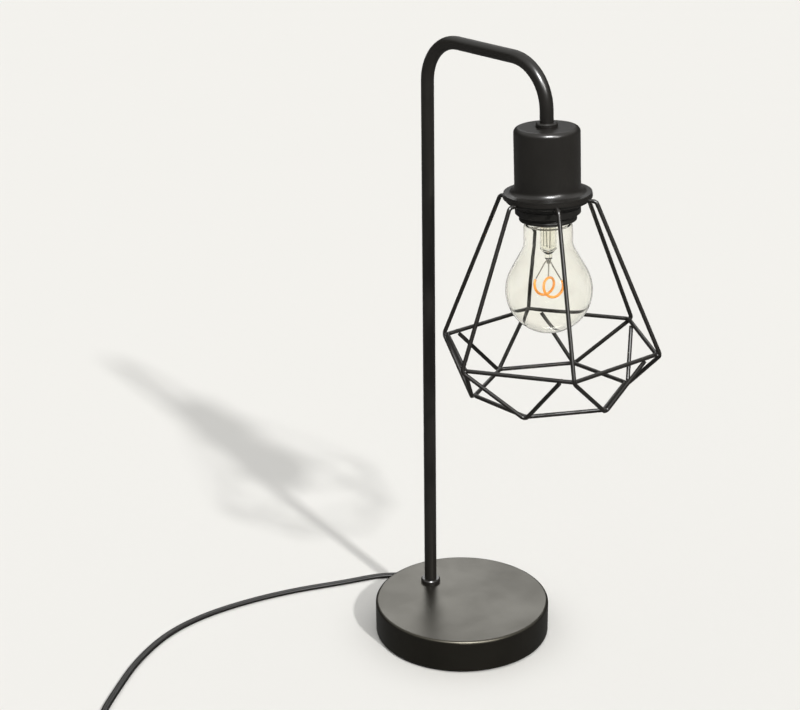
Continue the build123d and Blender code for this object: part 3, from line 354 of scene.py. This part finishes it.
def finish(name, colour, roughness, colour_swing=0.1, roughness_swing=0.05, cloud_scale=40.0,
           grain_scale=1500.0, peel=0.4, bump=0.1, bump_depth=0.00005, rub=0.0, rub_colour=None,
           streaks=None, **sockets):
    """A procedural finish: clouds, grain, rubbed edges and streaks on a Principled shader.

    bump is the strength of the grain and bump_depth its real depth. rub is how far the
    rubbed edges go to rub_colour. streaks is the stretch of drawn lines, where there are
    any. sockets are constants for the shader's own sockets.
    """
    material = bpy.data.materials.new(name)
    material.use_nodes = True
    tree = material.node_tree
    shader = tree.nodes["Principled BSDF"]
    for socket, value in sockets.items():
        shader.inputs[socket.replace("_", " ")].default_value = value
    surface = place_group(
        tree, surface_group, Colour=(*colour, 1.0), Colour_Swing=colour_swing,
        Roughness=roughness, Roughness_Swing=roughness_swing, Cloud_Scale=cloud_scale,
        Grain_Scale=grain_scale, Orange_Peel=peel,
    )
    tint = surface.outputs["Colour"]
    rough = surface.outputs["Roughness"]
    height = surface.outputs["Height"]
    if streaks is not None:
        lines = place_group(tree, streak_group, Stretch=streaks, Scale=grain_scale)
        spot = tree.nodes.new("ShaderNodeTexCoord").outputs["Object"]
        tree.links.new(spot, lines.inputs["Vector"])
        rough = spread(tree, rough, STREAK_ROUGHNESS, lines.outputs["Streaks"])
        height = math_node(tree, "ADD", height, lines.outputs["Streaks"])
    if rub > 0:
        edges = place_group(tree, edge_group)
        share = math_node(tree, "MULTIPLY", edges.outputs["Mask"], rub)
        mix = tree.nodes.new("ShaderNodeMix")
        mix.data_type = "RGBA"
        tree.links.new(share, mix.inputs["Factor"])
        tree.links.new(tint, mix.inputs["A"])
        mix.inputs["B"].default_value = (*rub_colour, 1.0)
        tint = mix.outputs["Result"]
        polish = math_node(tree, "MULTIPLY", share, RUB_POLISH)
        rough = math_node(tree, "SUBTRACT", rough, polish)
    tree.links.new(tint, shader.inputs["Base Color"])
    tree.links.new(rough, shader.inputs["Roughness"])
    relief = tree.nodes.new("ShaderNodeBump")
    relief.inputs["Strength"].default_value = bump
    relief.inputs["Distance"].default_value = bump_depth
    tree.links.new(height, relief.inputs["Height"])
    tree.links.new(relief.outputs["Normal"], shader.inputs["Normal"])
    return material


def powder_coat(name, **changes):
    """Fine textured black powder coat, which turns paler where it is seen at a low angle."""
    values = dict(
        colour=(0.0048, 0.0043, 0.0038), roughness=0.34, colour_swing=0.25,
        roughness_swing=0.05, cloud_scale=45.0, grain_scale=1400.0, peel=0.9, bump=0.22,
        bump_depth=0.00004, rub=0.25, rub_colour=(0.035, 0.033, 0.030),
        Specular_IOR_Level=0.45,
    )
    values.update(changes)
    return finish(name, **values)


def clear_glass(name, tint, ior=1.46):
    """Blown glass with a faint tint and very slight waves in its surface."""
    material = bpy.data.materials.new(name)
    material.use_nodes = True
    tree = material.node_tree
    shader = tree.nodes["Principled BSDF"]
    shader.inputs["Transmission Weight"].default_value = 1.0
    shader.inputs["IOR"].default_value = ior
    surface = place_group(
        tree, surface_group, Colour=(*tint, 1.0), Colour_Swing=0.012, Roughness=0.004,
        Roughness_Swing=0.003, Cloud_Scale=30.0, Grain_Scale=60.0, Orange_Peel=0.3,
    )
    tree.links.new(surface.outputs["Colour"], shader.inputs["Base Color"])
    tree.links.new(surface.outputs["Roughness"], shader.inputs["Roughness"])
    waves = tree.nodes.new("ShaderNodeBump")
    waves.inputs["Strength"].default_value = 0.05
    waves.inputs["Distance"].default_value = 0.0002
    tree.links.new(surface.outputs["Height"], waves.inputs["Height"])
    tree.links.new(waves.outputs["Normal"], shader.inputs["Normal"])
    return material


def flex_jacket():
    """Extruded black jacket, whose fine lines run along the flex on its own UV map."""
    material = bpy.data.materials.new("cord_jacket")
    material.use_nodes = True
    tree = material.node_tree
    shader = tree.nodes["Principled BSDF"]
    shader.inputs["Specular IOR Level"].default_value = 0.32
    surface = place_group(
        tree, surface_group, Colour=(0.0095, 0.0088, 0.0080, 1.0), Colour_Swing=0.2,
        Roughness=0.44, Roughness_Swing=0.05, Cloud_Scale=60.0, Grain_Scale=1800.0,
    )
    lines = place_group(tree, streak_group, Scale=1100.0, Stretch=(1.0, 0.02, 1.0))
    along = tree.nodes.new("ShaderNodeUVMap")
    along.uv_map = "flex"
    tree.links.new(along.outputs["UV"], lines.inputs["Vector"])
    tree.links.new(surface.outputs["Colour"], shader.inputs["Base Color"])
    tree.links.new(spread(tree, surface.outputs["Roughness"], 0.06, lines.outputs["Streaks"]),
                   shader.inputs["Roughness"])
    relief = tree.nodes.new("ShaderNodeBump")
    relief.inputs["Strength"].default_value = 0.25
    relief.inputs["Distance"].default_value = 0.00006
    tree.links.new(lines.outputs["Streaks"], relief.inputs["Height"])
    tree.links.new(relief.outputs["Normal"], shader.inputs["Normal"])
    return material


def make_finishes():
    """Every material slot of the record, with the finish of the real surface, and a faint painted
    glow on the filament.
    """
    ring = (1.0, 1.0, 0.04)
    return {
        "base_coat": powder_coat("base_coat", colour=(0.0040, 0.0036, 0.0031), cloud_scale=28.0,
                                 roughness=0.37, roughness_swing=0.09, Specular_IOR_Level=0.6,
                                 Specular_Tint=(1.0, 0.94, 0.76, 1.0)),
        "satin_black": powder_coat("satin_black", colour=(0.018, 0.0166, 0.0148),
                                   roughness=0.30, Specular_IOR_Level=0.35),
        "cage_black": powder_coat("cage_black", colour=(0.0150, 0.0132, 0.0112), rub=0.0),
        "black_plastic": finish(
            "black_plastic", (0.0180, 0.0175, 0.0160), 0.38, colour_swing=0.12,
            grain_scale=2600.0, peel=0.3, bump=0.12, bump_depth=0.00003, rub=0.3,
            rub_colour=(0.03, 0.03, 0.03), Specular_IOR_Level=0.3),
        "cord_jacket": flex_jacket(),
        "soft_black": finish(
            "soft_black", (0.0100, 0.0095, 0.0090), 0.52, colour_swing=0.15,
            grain_scale=2200.0, peel=0.5, bump=0.2, bump_depth=0.00005,
            Specular_IOR_Level=0.35),
        "foot_pad": finish(
            "foot_pad", (0.016, 0.015, 0.015), 0.85, colour_swing=0.25, grain_scale=900.0,
            peel=1.0, bump=0.7, bump_depth=0.00025),
        "cast_iron": finish(
            "cast_iron", (0.085, 0.080, 0.075), 0.68, colour_swing=0.35, cloud_scale=70.0,
            grain_scale=700.0, peel=1.0, bump=0.8, bump_depth=0.0003, Metallic=0.7),
        "zinc_steel": finish(
            "zinc_steel", (0.52, 0.53, 0.55), 0.34, colour_swing=0.12, cloud_scale=120.0,
            grain_scale=900.0, bump=0.15, streaks=ring, Metallic=1.0),
        "brass": finish(
            "brass", (0.62, 0.42, 0.14), 0.28, colour_swing=0.14, cloud_scale=150.0,
            grain_scale=1200.0, bump=0.12, streaks=ring, Metallic=1.0),
        "nickel_cap": finish(
            "nickel_cap", (0.60, 0.585, 0.54), 0.26, colour_swing=0.10, cloud_scale=130.0,
            grain_scale=1100.0, bump=0.12, streaks=ring, Metallic=1.0),
        "bulb_glass": clear_glass("bulb_glass", (1.0, 0.992, 0.950), 1.26),
        "stem_glass": clear_glass("stem_glass", (0.96, 0.955, 0.90), 1.5),
        # The filament's faint emission is a painted glow: the bulb is off, and it only brightens
        # the orange strands.
        "filament": finish(
            "filament", (0.80, 0.30, 0.045), 0.32, colour_swing=0.22, cloud_scale=900.0,
            grain_scale=4000.0, bump=0.3, bump_depth=0.00008, Coat_Weight=0.4,
            Emission_Color=(1.0, 0.42, 0.08, 1.0), Emission_Strength=0.12),
        "ceramic": finish(
            "ceramic", (0.74, 0.71, 0.64), 0.30, colour_swing=0.05, grain_scale=800.0,
            bump=0.1, Coat_Weight=0.5),
        "black_glass": finish(
            "black_glass", (0.006, 0.006, 0.007), 0.10, colour_swing=0.2, grain_scale=700.0,
            bump=0.1),
        "lead_wire": finish(
            "lead_wire", (0.42, 0.40, 0.37), 0.30, colour_swing=0.15, grain_scale=3000.0,
            bump=0.1, Metallic=1.0),
        "wire_blue": finish("wire_blue", (0.03, 0.10, 0.32), 0.40, grain_scale=2500.0),
        "wire_brown": finish("wire_brown", (0.12, 0.045, 0.018), 0.40, grain_scale=2500.0),
        "driver_board": finish(
            "driver_board", (0.05, 0.12, 0.06), 0.45, colour_swing=0.3, cloud_scale=400.0,
            grain_scale=2000.0, bump=0.3),
    }


# Meshes worked out on grids of points


def grid_mesh(name, points, closed_rows=False, closed_columns=True, capped=False, uv=None):
    """A mesh of quads over a grid of points, joined round its columns and, if closed, its rows.

    points is an array of rows by columns by three, whose faces point outwards when the
    columns turn counterclockwise about the way the rows go. capped closes both ends of an
    open grid with one face each. uv is an array of rows by columns by two, without a seam.
    """
    rows, columns = points.shape[:2]
    row = np.arange(rows if closed_rows else rows - 1)
    column = np.arange(columns if closed_columns else columns - 1)
    row, column = [part.ravel() for part in np.meshgrid(row, column, indexing="ij")]
    next_row = (row + 1) % rows
    next_column = (column + 1) % columns
    quads = np.stack([row * columns + column, row * columns + next_column,
                      next_row * columns + next_column, next_row * columns + column], axis=1)
    faces = quads.tolist()
    if capped:
        faces.append(list(range(columns))[::-1])
        faces.append(list(range((rows - 1) * columns, rows * columns)))
    mesh = bpy.data.meshes.new(name)
    mesh.from_pydata(points.reshape(-1, 3).tolist(), [], faces)
    mesh.polygons.foreach_set("use_smooth", np.ones(len(faces), dtype=bool))
    if uv is not None:
        layer = mesh.uv_layers.new(name="flex")
        flat = uv.reshape(-1, 2)
        corners = np.zeros((len(mesh.loops), 2))
        corners[:quads.size] = flat[quads.ravel()]
        layer.data.foreach_set("uv", corners.ravel())
    mesh.update()
    return link(bpy.data.objects.new(name, mesh))


def dress(piece, body, slot, *replaced):
    """Gives a new piece its body, its slot's finish and the nodes that it stands for."""
    piece.data.materials.append(finishes[slot])
    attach(piece, body)
    if replaced:
        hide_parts(*replaced)
    return piece


# The head's frame: its axis leans, and heights are counted up from the top of the cup
POST_PLACE = -36.5
ARM_REACH = 119.0
ARM_HEIGHT = 462.0
ARM_BEND = 32.0
ARM_END = (POST_PLACE + ARM_REACH - ARM_BEND, ARM_HEIGHT - ARM_BEND)
HEAD_LEAN = radians(2.5)
HEAD_DROP = 11.4
head_down = np.array([sin(HEAD_LEAN), 0.0, -cos(HEAD_LEAN)])
head_side = np.array([cos(HEAD_LEAN), 0.0, sin(HEAD_LEAN)])
head_across = np.array([0.0, 1.0, 0.0])
head_origin = (np.array([ARM_END[0], 0.0, ARM_END[1]]) + head_side * ARM_BEND
               + head_down * HEAD_DROP)


def head_points(radius, angle, height):
    """Points round the head's axis, in metres, from radii, angles and heights in millimetres."""
    radius, angle, height = np.broadcast_arrays(radius, angle, height)
    round_about = (np.multiply.outer(radius * np.cos(angle), head_side)
                   + np.multiply.outer(radius * np.sin(angle), head_across))
    return (head_origin + round_about - np.multiply.outer(height, head_down)) * MM


def turned(name, profile, steps, thread=None):
    """A closed profile turned about the head's axis, with a thread on it if one is given.

    profile is a closed list of (radius, height), counterclockwise in that plane. thread is
    (top, bottom, pitch, depth, least radius): between two heights each point further out
    than the least radius goes in by depth times half of one plus the sine of the turn
    angle less the height over the pitch, faded over one pitch at both ends.
    """
    profile = np.array(profile)
    angle = np.linspace(0, 2 * pi, steps, endpoint=False)
    radius = np.repeat(profile[:, :1], steps, axis=1)
    height = np.repeat(profile[:, 1:], steps, axis=1)
    if thread is not None:
        top, bottom, pitch, depth, least = thread
        fade = np.clip((top - height) / pitch, 0, 1) * np.clip((height - bottom) / pitch, 0, 1)
        wave = 0.5 + 0.5 * np.sin(angle[None, :] - 2 * pi * height / pitch)
        radius = radius - np.where(radius > least, depth * wave * fade, 0.0)
    points = head_points(radius, angle[None, :], height)
    return grid_mesh(name, points, closed_rows=True)


def arc(centre, radius, first, last, count):
    """Points on an arc about a centre, from one angle to another in degrees."""
    angle = np.radians(np.linspace(first, last, count))
    return [(centre[0] + radius * cos(a), centre[1] + radius * sin(a)) for a in angle]


# The cord, a flat twin flex in one piece from the relief to the plug
FLEX_WIDTH = 5.2
FLEX_THICKNESS = 3.2
FLEX_SIDE_POWER = 0.8
FLEX_FLAT_POWER = 0.62
FLEX_GROOVE_DEPTH = 0.16
FLEX_GROOVE_WIDTH = 0.42
FLEX_STEPS = 36
CORD_HEIGHT = 1.65
SWITCH_HEIGHT = 3.6
PLUG_HEIGHT = 6.85
COIL_CENTRE = (83.0, -208.0)
COIL_INNER = 21.0
COIL_PITCH = 5.8
COIL_LAYER = 3.65
COIL_TURNS = 6.25
COIL_START = 139.3
COIL_STEPS = 16
COIL_LEAD = 13.0
ROUTE_TO_SWITCH = [
    (-83.6, 22.7, 4.0),
    (-89.1, 20.6, 2.5),
    (-95.6, 15.4, CORD_HEIGHT),
    (-105.3, 2.6, CORD_HEIGHT),
    (-114.6, -23.4, CORD_HEIGHT),
    (-132.2, -63.0, CORD_HEIGHT),
    (-143.6, -103.0, CORD_HEIGHT),
    (-148.8, -143.0, CORD_HEIGHT),
    (-144.5, -180.0, CORD_HEIGHT),
    (-126.5, -219.5, CORD_HEIGHT),
    (-102.5, -253.0, CORD_HEIGHT),
    (-80.5, -281.5, CORD_HEIGHT),
    (-59.7, -288.7, CORD_HEIGHT),
    (-38.4, -283.4, CORD_HEIGHT),
    (-24.5, -269.0, CORD_HEIGHT),
    (-13.9, -257.0, SWITCH_HEIGHT),
    (-5.2, -247.4, SWITCH_HEIGHT),
]
ROUTE_TO_COIL = [
    (26.98, -211.79, SWITCH_HEIGHT),
    (35.7, -202.14, SWITCH_HEIGHT),
]
ROUTE_TO_PLUG = [
    (138.0, -204.6, CORD_HEIGHT),
    (142.9, -220.9, CORD_HEIGHT),
    (139.1, -237.5, CORD_HEIGHT),
    (126.4, -251.6, PLUG_HEIGHT),
    (119.7, -259.0, PLUG_HEIGHT),
]


def coil_place(turn):
    """A point on the coil: it winds in on the floor, climbs one layer and winds out on top."""
    half = COIL_TURNS * pi
    radius = COIL_INNER + COIL_PITCH * abs(turn) / (2 * pi)
    climb = (1 + sin(max(-pi / 2, min(pi / 2, turn)))) / 2
    angle = radians(COIL_START) - (turn + half)
    return Vector((COIL_CENTRE[0] + radius * cos(angle), COIL_CENTRE[1] + radius * sin(angle),
                   CORD_HEIGHT + COIL_LAYER * climb))


def coil_points():
    """The coil's points, each a little outside its turn, because the smooth line cuts inside."""
    half = COIL_TURNS * pi
    step = 2 * pi / COIL_STEPS
    count = round(2 * half / step)
    outwards = 1 / cos(step / 2)
    centre = Vector((*COIL_CENTRE, 0))
    points = []
    for number in range(count + 1):
        spot = coil_place(number * step - half) - centre
        inside = 0 < number < count
        swell = outwards if inside else 1.0
        points.append((centre.x + spot.x * swell, centre.y + spot.y * swell, spot.z))
    return points


def cord_route():
    """All the points that the cord's smooth line is drawn with, in millimetres."""
    small = 1e-4
    half = COIL_TURNS * pi
    way_in = (coil_place(small - half) - coil_place(-half)).normalized()
    way_out = (coil_place(half) - coil_place(half - small)).normalized()
    lead_in = coil_place(-half) - way_in * COIL_LEAD
    lead_out = coil_place(half) + way_out * COIL_LEAD
    return (ROUTE_TO_SWITCH + ROUTE_TO_COIL + [tuple(lead_in)] + coil_points()
            + [tuple(lead_out)] + ROUTE_TO_PLUG)


def smooth_line(name, route):
    """The points of one smooth line with the route's points as its control points, in metres."""
    curve = bpy.data.curves.new(name, "CURVE")
    curve.dimensions = "3D"
    curve.resolution_u = 8
    spline = curve.splines.new("NURBS")
    spline.points.add(len(route) - 1)
    for point, spot in zip(spline.points, route):
        point.co = (spot[0] * MM, spot[1] * MM, spot[2] * MM, 1.0)
    spline.order_u = 3
    spline.use_endpoint_u = True
    holder = link(bpy.data.objects.new(name, curve))
    bpy.context.view_layer.update()
    line = bpy.data.meshes.new_from_object(holder)
    places = np.empty(len(line.vertices) * 3)
    line.vertices.foreach_get("co", places)
    bpy.data.objects.remove(holder)
    bpy.data.meshes.remove(line)
    return places.reshape(-1, 3)


def flex_section(count):
    """The flex's section: an oblong with round ends, and a shallow groove along each flat side.

    The width is half the flex's width times a power of the cosine, the height half its
    thickness times a power of the sine, less a bell shaped groove in the middle.
    """
    angle = np.linspace(0, 2 * pi, count, endpoint=False)
    side, top = np.cos(angle), np.sin(angle)
    across = FLEX_WIDTH / 2 * np.sign(side) * np.abs(side) ** FLEX_SIDE_POWER
    above = FLEX_THICKNESS / 2 * np.sign(top) * np.abs(top) ** FLEX_FLAT_POWER
    groove = 1 - FLEX_GROOVE_DEPTH * np.exp(-(across / FLEX_GROOVE_WIDTH) ** 2)
    return across * MM, above * groove * MM


def make_cord():
    """The flex's section carried along its smooth line, with its flat side kept level."""
    line = smooth_line("cord_line", cord_route())
    way = np.gradient(line, axis=0)
    way /= np.linalg.norm(way, axis=1, keepdims=True)
    level = np.cross(np.array([0.0, 0.0, 1.0]), way)
    level /= np.linalg.norm(level, axis=1, keepdims=True)
    upright = np.cross(way, level)
    across, above = flex_section(FLEX_STEPS)
    points = (line[:, None, :] + across[None, :, None] * level[:, None, :]
              + above[None, :, None] * upright[:, None, :])
    steps = np.linalg.norm(np.diff(line, axis=0), axis=1)
    travelled = np.concatenate([[0.0], np.cumsum(steps)])
    girth = np.linspace(0, 2 * (FLEX_WIDTH + FLEX_THICKNESS) * MM, len(across))
    uv = np.stack(np.broadcast_arrays(girth[None, :], travelled[:, None]), axis=2)
    cord = grid_mesh("flat_cord", points, capped=True, uv=uv)
    dress(cord, "root", "cord_jacket", "cord_free", "cord_mid", "cord_coil", "cord_tail")


# The bulb, with its poles a hair's breadth off the axis
POLE_RADIUS = 0.02
GLOBE_RADIUS = 30.0
GLOBE_CENTRE = -114.6
SHOULDER_ANGLE = 28.9
NECK_RADIUS = 16.8
NECK_BEND = 14.0
NECK_TOP = -66.5
NECK_EDGE = 3.0
GLASS_WALL = 0.8
GLASS_TOP_WALL = 1.5
STEM_HOLE = 5.75


def glass_side(inset):
    """Half the bulb's outline from the bottom up: ball, straight shoulder, bend and neck."""
    ball = GLOBE_RADIUS - inset
    neck = NECK_RADIUS - inset
    bend = NECK_BEND + inset
    side = radians(SHOULDER_ANGLE)
    tip = (ball * cos(side), GLOBE_CENTRE + ball * sin(side))
    meet = tip[1] + (tip[0] - neck) * cos(side) / sin(side)
    half_turn = side / 2
    reach = bend * sin(half_turn) / cos(half_turn)
    centre = (neck + bend, meet + reach)
    return (arc((0, GLOBE_CENTRE), ball, -90, SHOULDER_ANGLE, 56)
            + arc(centre, bend, 180 + SHOULDER_ANGLE, 180, 14))


def make_bulb_glass():
    """The thin blown glass: the outer side up, over the neck's top, and the inner side down."""
    outer = glass_side(0)
    inner = glass_side(GLASS_WALL)
    top = arc((NECK_RADIUS - NECK_EDGE, NECK_TOP - NECK_EDGE), NECK_EDGE, 0, 90, 8)
    under = NECK_TOP - GLASS_TOP_WALL
    inner_edge = NECK_EDGE - GLASS_TOP_WALL
    corner = (NECK_RADIUS - GLASS_WALL - inner_edge, under - inner_edge)
    inside_top = arc(corner, inner_edge, 90, 0, 5)
    profile = (outer + top + [(STEM_HOLE, NECK_TOP), (STEM_HOLE, under)] + inside_top
               + inner[::-1])
    profile[0] = (POLE_RADIUS, profile[0][1])
    profile[-1] = (POLE_RADIUS, profile[-1][1])
    glass = turned("blown_glass", profile, steps=144)
    dress(glass, "bulb", "bulb_glass", "bulb_glass")


CAP_CREST = 13.05
CAP_ROOT = 12.3
CAP_THREAD_FROM = 12.4
CAP_WALL = 0.45
CAP_PITCH = 3.63
CAP_TOP = -44.25
CAP_HOLE = 3.0
CAP_PLAIN_TOP = 1.0
CAP_PLAIN_FOOT = 2.0
LID_WALL = 0.6
LID_EDGE = (0.6, 0.5)
LID_INSIDE = (1.1, 1.2)


def make_bulb_cap():
    """The rolled screw cap: a thin wall whose thread winds round it, under a coned lid."""
    thread_top = CAP_TOP - CAP_PLAIN_TOP
    thread_foot = NECK_TOP + CAP_PLAIN_FOOT
    side = [(CAP_CREST, h) for h in np.linspace(NECK_TOP, thread_top, 90)]
    lid = [(CAP_ROOT, CAP_TOP - LID_EDGE[1]), (CAP_ROOT - LID_EDGE[0], CAP_TOP),
           (CAP_HOLE, CAP_TOP), (CAP_HOLE, CAP_TOP - LID_WALL),
           (CAP_ROOT - LID_INSIDE[0], CAP_TOP - LID_WALL)]
    wall_heights = np.linspace(CAP_TOP - LID_INSIDE[1], NECK_TOP, 4)
    wall = [(CAP_ROOT - CAP_WALL, h) for h in wall_heights]
    thread = (thread_top, thread_foot, CAP_PITCH, CAP_CREST - CAP_ROOT, CAP_THREAD_FROM)
    cap = turned("rolled_cap", side + lid + wall, steps=96, thread=thread)
    dress(cap, "bulb", "nickel_cap", "bulb_cap")


def tube_points(line, radius, count):
    """A round tube's points along a line, from one steady side direction."""
    way = np.gradient(line, axis=0)
    way /= np.linalg.norm(way, axis=1, keepdims=True)
    steady = np.where(np.abs(way[:, :1]) < 0.9, [[1.0, 0.0, 0.0]], [[0.0, 1.0, 0.0]])
    side = np.cross(steady, way)
    side /= np.linalg.norm(side, axis=1, keepdims=True)
    other = np.cross(way, side)
    angle = np.linspace(0, 2 * pi, count, endpoint=False)
    return (line[:, None, :] + radius * np.cos(angle)[None, :, None] * side[:, None, :]
            + radius * np.sin(angle)[None, :, None] * other[:, None, :])


STEM_WIRE_SPREAD = 2.2
STEM_WIRE_LEAN = 0.7
STEM_WIRE_RADIUS = 0.4
STEM_WIRE_TOP = -61.0
STEM_WIRE_END = -84.0
FILAMENT_HEADING = -6.0


def make_stem_wires():
    """The two lead wires inside the glass stem, which lean in by a square towards the pinch."""
    for number, heading in enumerate((FILAMENT_HEADING, FILAMENT_HEADING + 180)):
        height = np.linspace(STEM_WIRE_TOP, STEM_WIRE_END, 12)
        share = np.linspace(0, 1, 12)
        radius = STEM_WIRE_SPREAD - STEM_WIRE_LEAN * share ** 2
        line = head_points(radius, radians(heading), height)
        wire = grid_mesh("stem_wire_" + str(number + 1),
                         tube_points(line, STEM_WIRE_RADIUS * MM, 12), capped=True)
        dress(wire, "bulb", "lead_wire")


# The lampholder's threaded skirt
SKIRT_RADIUS = 19.75
SKIRT_BORE = 18.05
SKIRT_TOP = -28.0
SKIRT_STEP = -60.8
SKIRT_GROOVE = 0.6
SKIRT_END = -64.2
SKIRT_EDGE = 0.8
SKIRT_LIP_BORE = 15.45
SKIRT_LIP_TOP = -61.6
SKIRT_PITCH = 2.5
SKIRT_DEPTH = 0.4
SKIRT_THREAD_FROM = 18.55


def make_skirt():
    """The skirt's thread winds down to a groove over its plain lip."""
    groove = SKIRT_RADIUS - SKIRT_GROOVE / 2
    side = [(SKIRT_RADIUS, h) for h in np.linspace(SKIRT_STEP, SKIRT_TOP, 130)]
    profile = ([(SKIRT_LIP_BORE, SKIRT_END)]
               + arc((SKIRT_RADIUS - SKIRT_EDGE, SKIRT_END + SKIRT_EDGE), SKIRT_EDGE, -90, 0, 6)
               + [(SKIRT_RADIUS, SKIRT_STEP - SKIRT_GROOVE), (groove, SKIRT_STEP - SKIRT_GROOVE),
                  (groove, SKIRT_STEP)]
               + side + [(SKIRT_BORE, SKIRT_TOP), (SKIRT_BORE, SKIRT_LIP_TOP),
                         (SKIRT_LIP_BORE, SKIRT_LIP_TOP)])
    thread = (SKIRT_TOP, SKIRT_STEP + SKIRT_PITCH, SKIRT_PITCH, SKIRT_DEPTH,
              SKIRT_THREAD_FROM)
    skirt = turned("threaded_skirt", profile, steps=120, thread=thread)
    dress(skirt, "root", "black_plastic", "holder_skirt")


# The soft pad under the base
PAD_RADIUS = 64.6
PAD_HEIGHT = 1.5
PAD_EDGE = 0.45
PAD_STEPS = 120
PAD_PLAIN_RIM = 3
DIMPLE_DEPTH = 0.12
DIMPLE_RATE = 1.3


def make_pad():
    """A foam disc with rounded edges, whose skin is dimpled by a grid of sines."""
    edge = PAD_RADIUS - PAD_EDGE
    low = arc((edge, PAD_EDGE), PAD_EDGE, -90, 0, 5)
    high = arc((edge, PAD_HEIGHT - PAD_EDGE), PAD_EDGE, 0, 90, 5)
    inner = [(r, 0.0) for r in np.linspace(POLE_RADIUS, edge, 30, endpoint=False)]
    outer = [(r, PAD_HEIGHT) for r in np.linspace(edge, POLE_RADIUS, 12)[1:]]
    profile = np.array(inner + low + high + outer)
    angle = np.linspace(0, 2 * pi, PAD_STEPS, endpoint=False)
    radius = np.repeat(profile[:, :1], PAD_STEPS, axis=1)
    height = np.repeat(profile[:, 1:], PAD_STEPS, axis=1)
    x, y = radius * np.cos(angle), radius * np.sin(angle)
    waves = np.sin(x * DIMPLE_RATE) * np.sin(y * DIMPLE_RATE)
    dimple = DIMPLE_DEPTH * (0.5 + 0.5 * waves)
    underside = (height < 0.01) & (radius < edge - PAD_PLAIN_RIM)
    height = height + np.where(underside, dimple, 0.0)
    points = np.stack([x, y, height], axis=2) * MM
    dress(grid_mesh("foam_pad", points), "root", "foot_pad", "base_pad")


# Weld beads of the cage, each sized along, outwards and across
PLATE_BEAD = (1.6, 1.7, 0.9)
RING_BEAD = (2.3, 1.7, 1.2)
END_BEAD = (1.9, 1.5, 1.55)
BEAD_OUTSIDE = 0.9
BEAD_WAVE = 0.06
BEAD_POLE = 0.05
CAGE_TURN = -3.1
CAGE_SIDES = 6
PLATE_LEVEL = -49.0
PLATE_WELD_RADIUS = 29.6
MID_LEVEL = -154.4
MID_RADIUS = 76.1
LOW_LEVEL = -188.0
LOW_RADIUS = 53.9
SPOKE_RETURN = 8.5


def bead(centre, along, outward, sizes):
    """An uneven drop of weld: a ball stretched on three directions, with low waves on it.

    The waves are the sine of three turns plus two polar angles, times the polar sine.
    """
    polar = np.linspace(BEAD_POLE, pi - BEAD_POLE, 14)[:, None]
    turn = np.linspace(0, 2 * pi, 20, endpoint=False)[None, :]
    swell = 1 + BEAD_WAVE * np.sin(3 * turn + 2 * polar) * np.sin(polar)
    third = np.cross(along, outward)
    x = np.cos(polar) * np.ones_like(turn)
    y = np.sin(polar) * np.cos(turn) * swell
    z = np.sin(polar) * np.sin(turn) * swell
    return (centre + (np.multiply.outer(x * sizes[0], along)
                      + np.multiply.outer(y * sizes[1], outward)
                      + np.multiply.outer(z * sizes[2], third)) * MM)


def unit(vector):
    """A vector with a length of one."""
    return vector / np.linalg.norm(vector)


def make_welds():
    """The beads that join each spoke to the plate and to both rings."""
    side_turn = 2 * pi / CAGE_SIDES
    first = side_turn / 2 + radians(CAGE_TURN)
    number = 0
    for side in range(CAGE_SIDES):
        angle = first + side * side_turn
        low_angle = angle + side_turn / 2
        outward = unit(head_points(1.0, angle, 0.0) - head_points(0.0, angle, 0.0))
        low_outward = unit(head_points(1.0, low_angle, 0.0) - head_points(0.0, 0.0, 0.0))
        across = np.cross(head_down, outward)
        low_across = np.cross(head_down, low_outward)
        here = head_points(MID_RADIUS, angle, MID_LEVEL)
        beyond = head_points(MID_RADIUS, angle + side_turn, MID_LEVEL)
        ring_way = unit(here - beyond)
        landing = beyond + ring_way * SPOKE_RETURN * MM
        plate_spot = head_points(PLATE_WELD_RADIUS, angle, PLATE_LEVEL)
        mid_spot = head_points(MID_RADIUS + BEAD_OUTSIDE, angle, MID_LEVEL)
        low_spot = head_points(LOW_RADIUS + BEAD_OUTSIDE, low_angle, LOW_LEVEL)
        beads = (
            (plate_spot, outward, across, PLATE_BEAD),
            (mid_spot, across, outward, RING_BEAD),
            (low_spot, low_across, low_outward, RING_BEAD),
            (landing, ring_way, np.cross(ring_way, head_down), END_BEAD),
        )
        for centre, along, out, sizes in beads:
            number += 1
            drop = grid_mesh("weld_" + str(number), bead(centre, unit(along), unit(out), sizes),
                             capped=True)
            dress(drop, "cage", "cage_black")


place_camera()
light_studio()
lay_floor()
finishes = make_finishes()
for name, node in nodes.items():
    node.material_slots[0].material = finishes[slot_of[name]]
make_cord()
make_bulb_glass()
make_bulb_cap()
make_stem_wires()
make_skirt()
make_pad()
make_welds()

bpy.context.scene.view_settings.view_transform = "Standard"
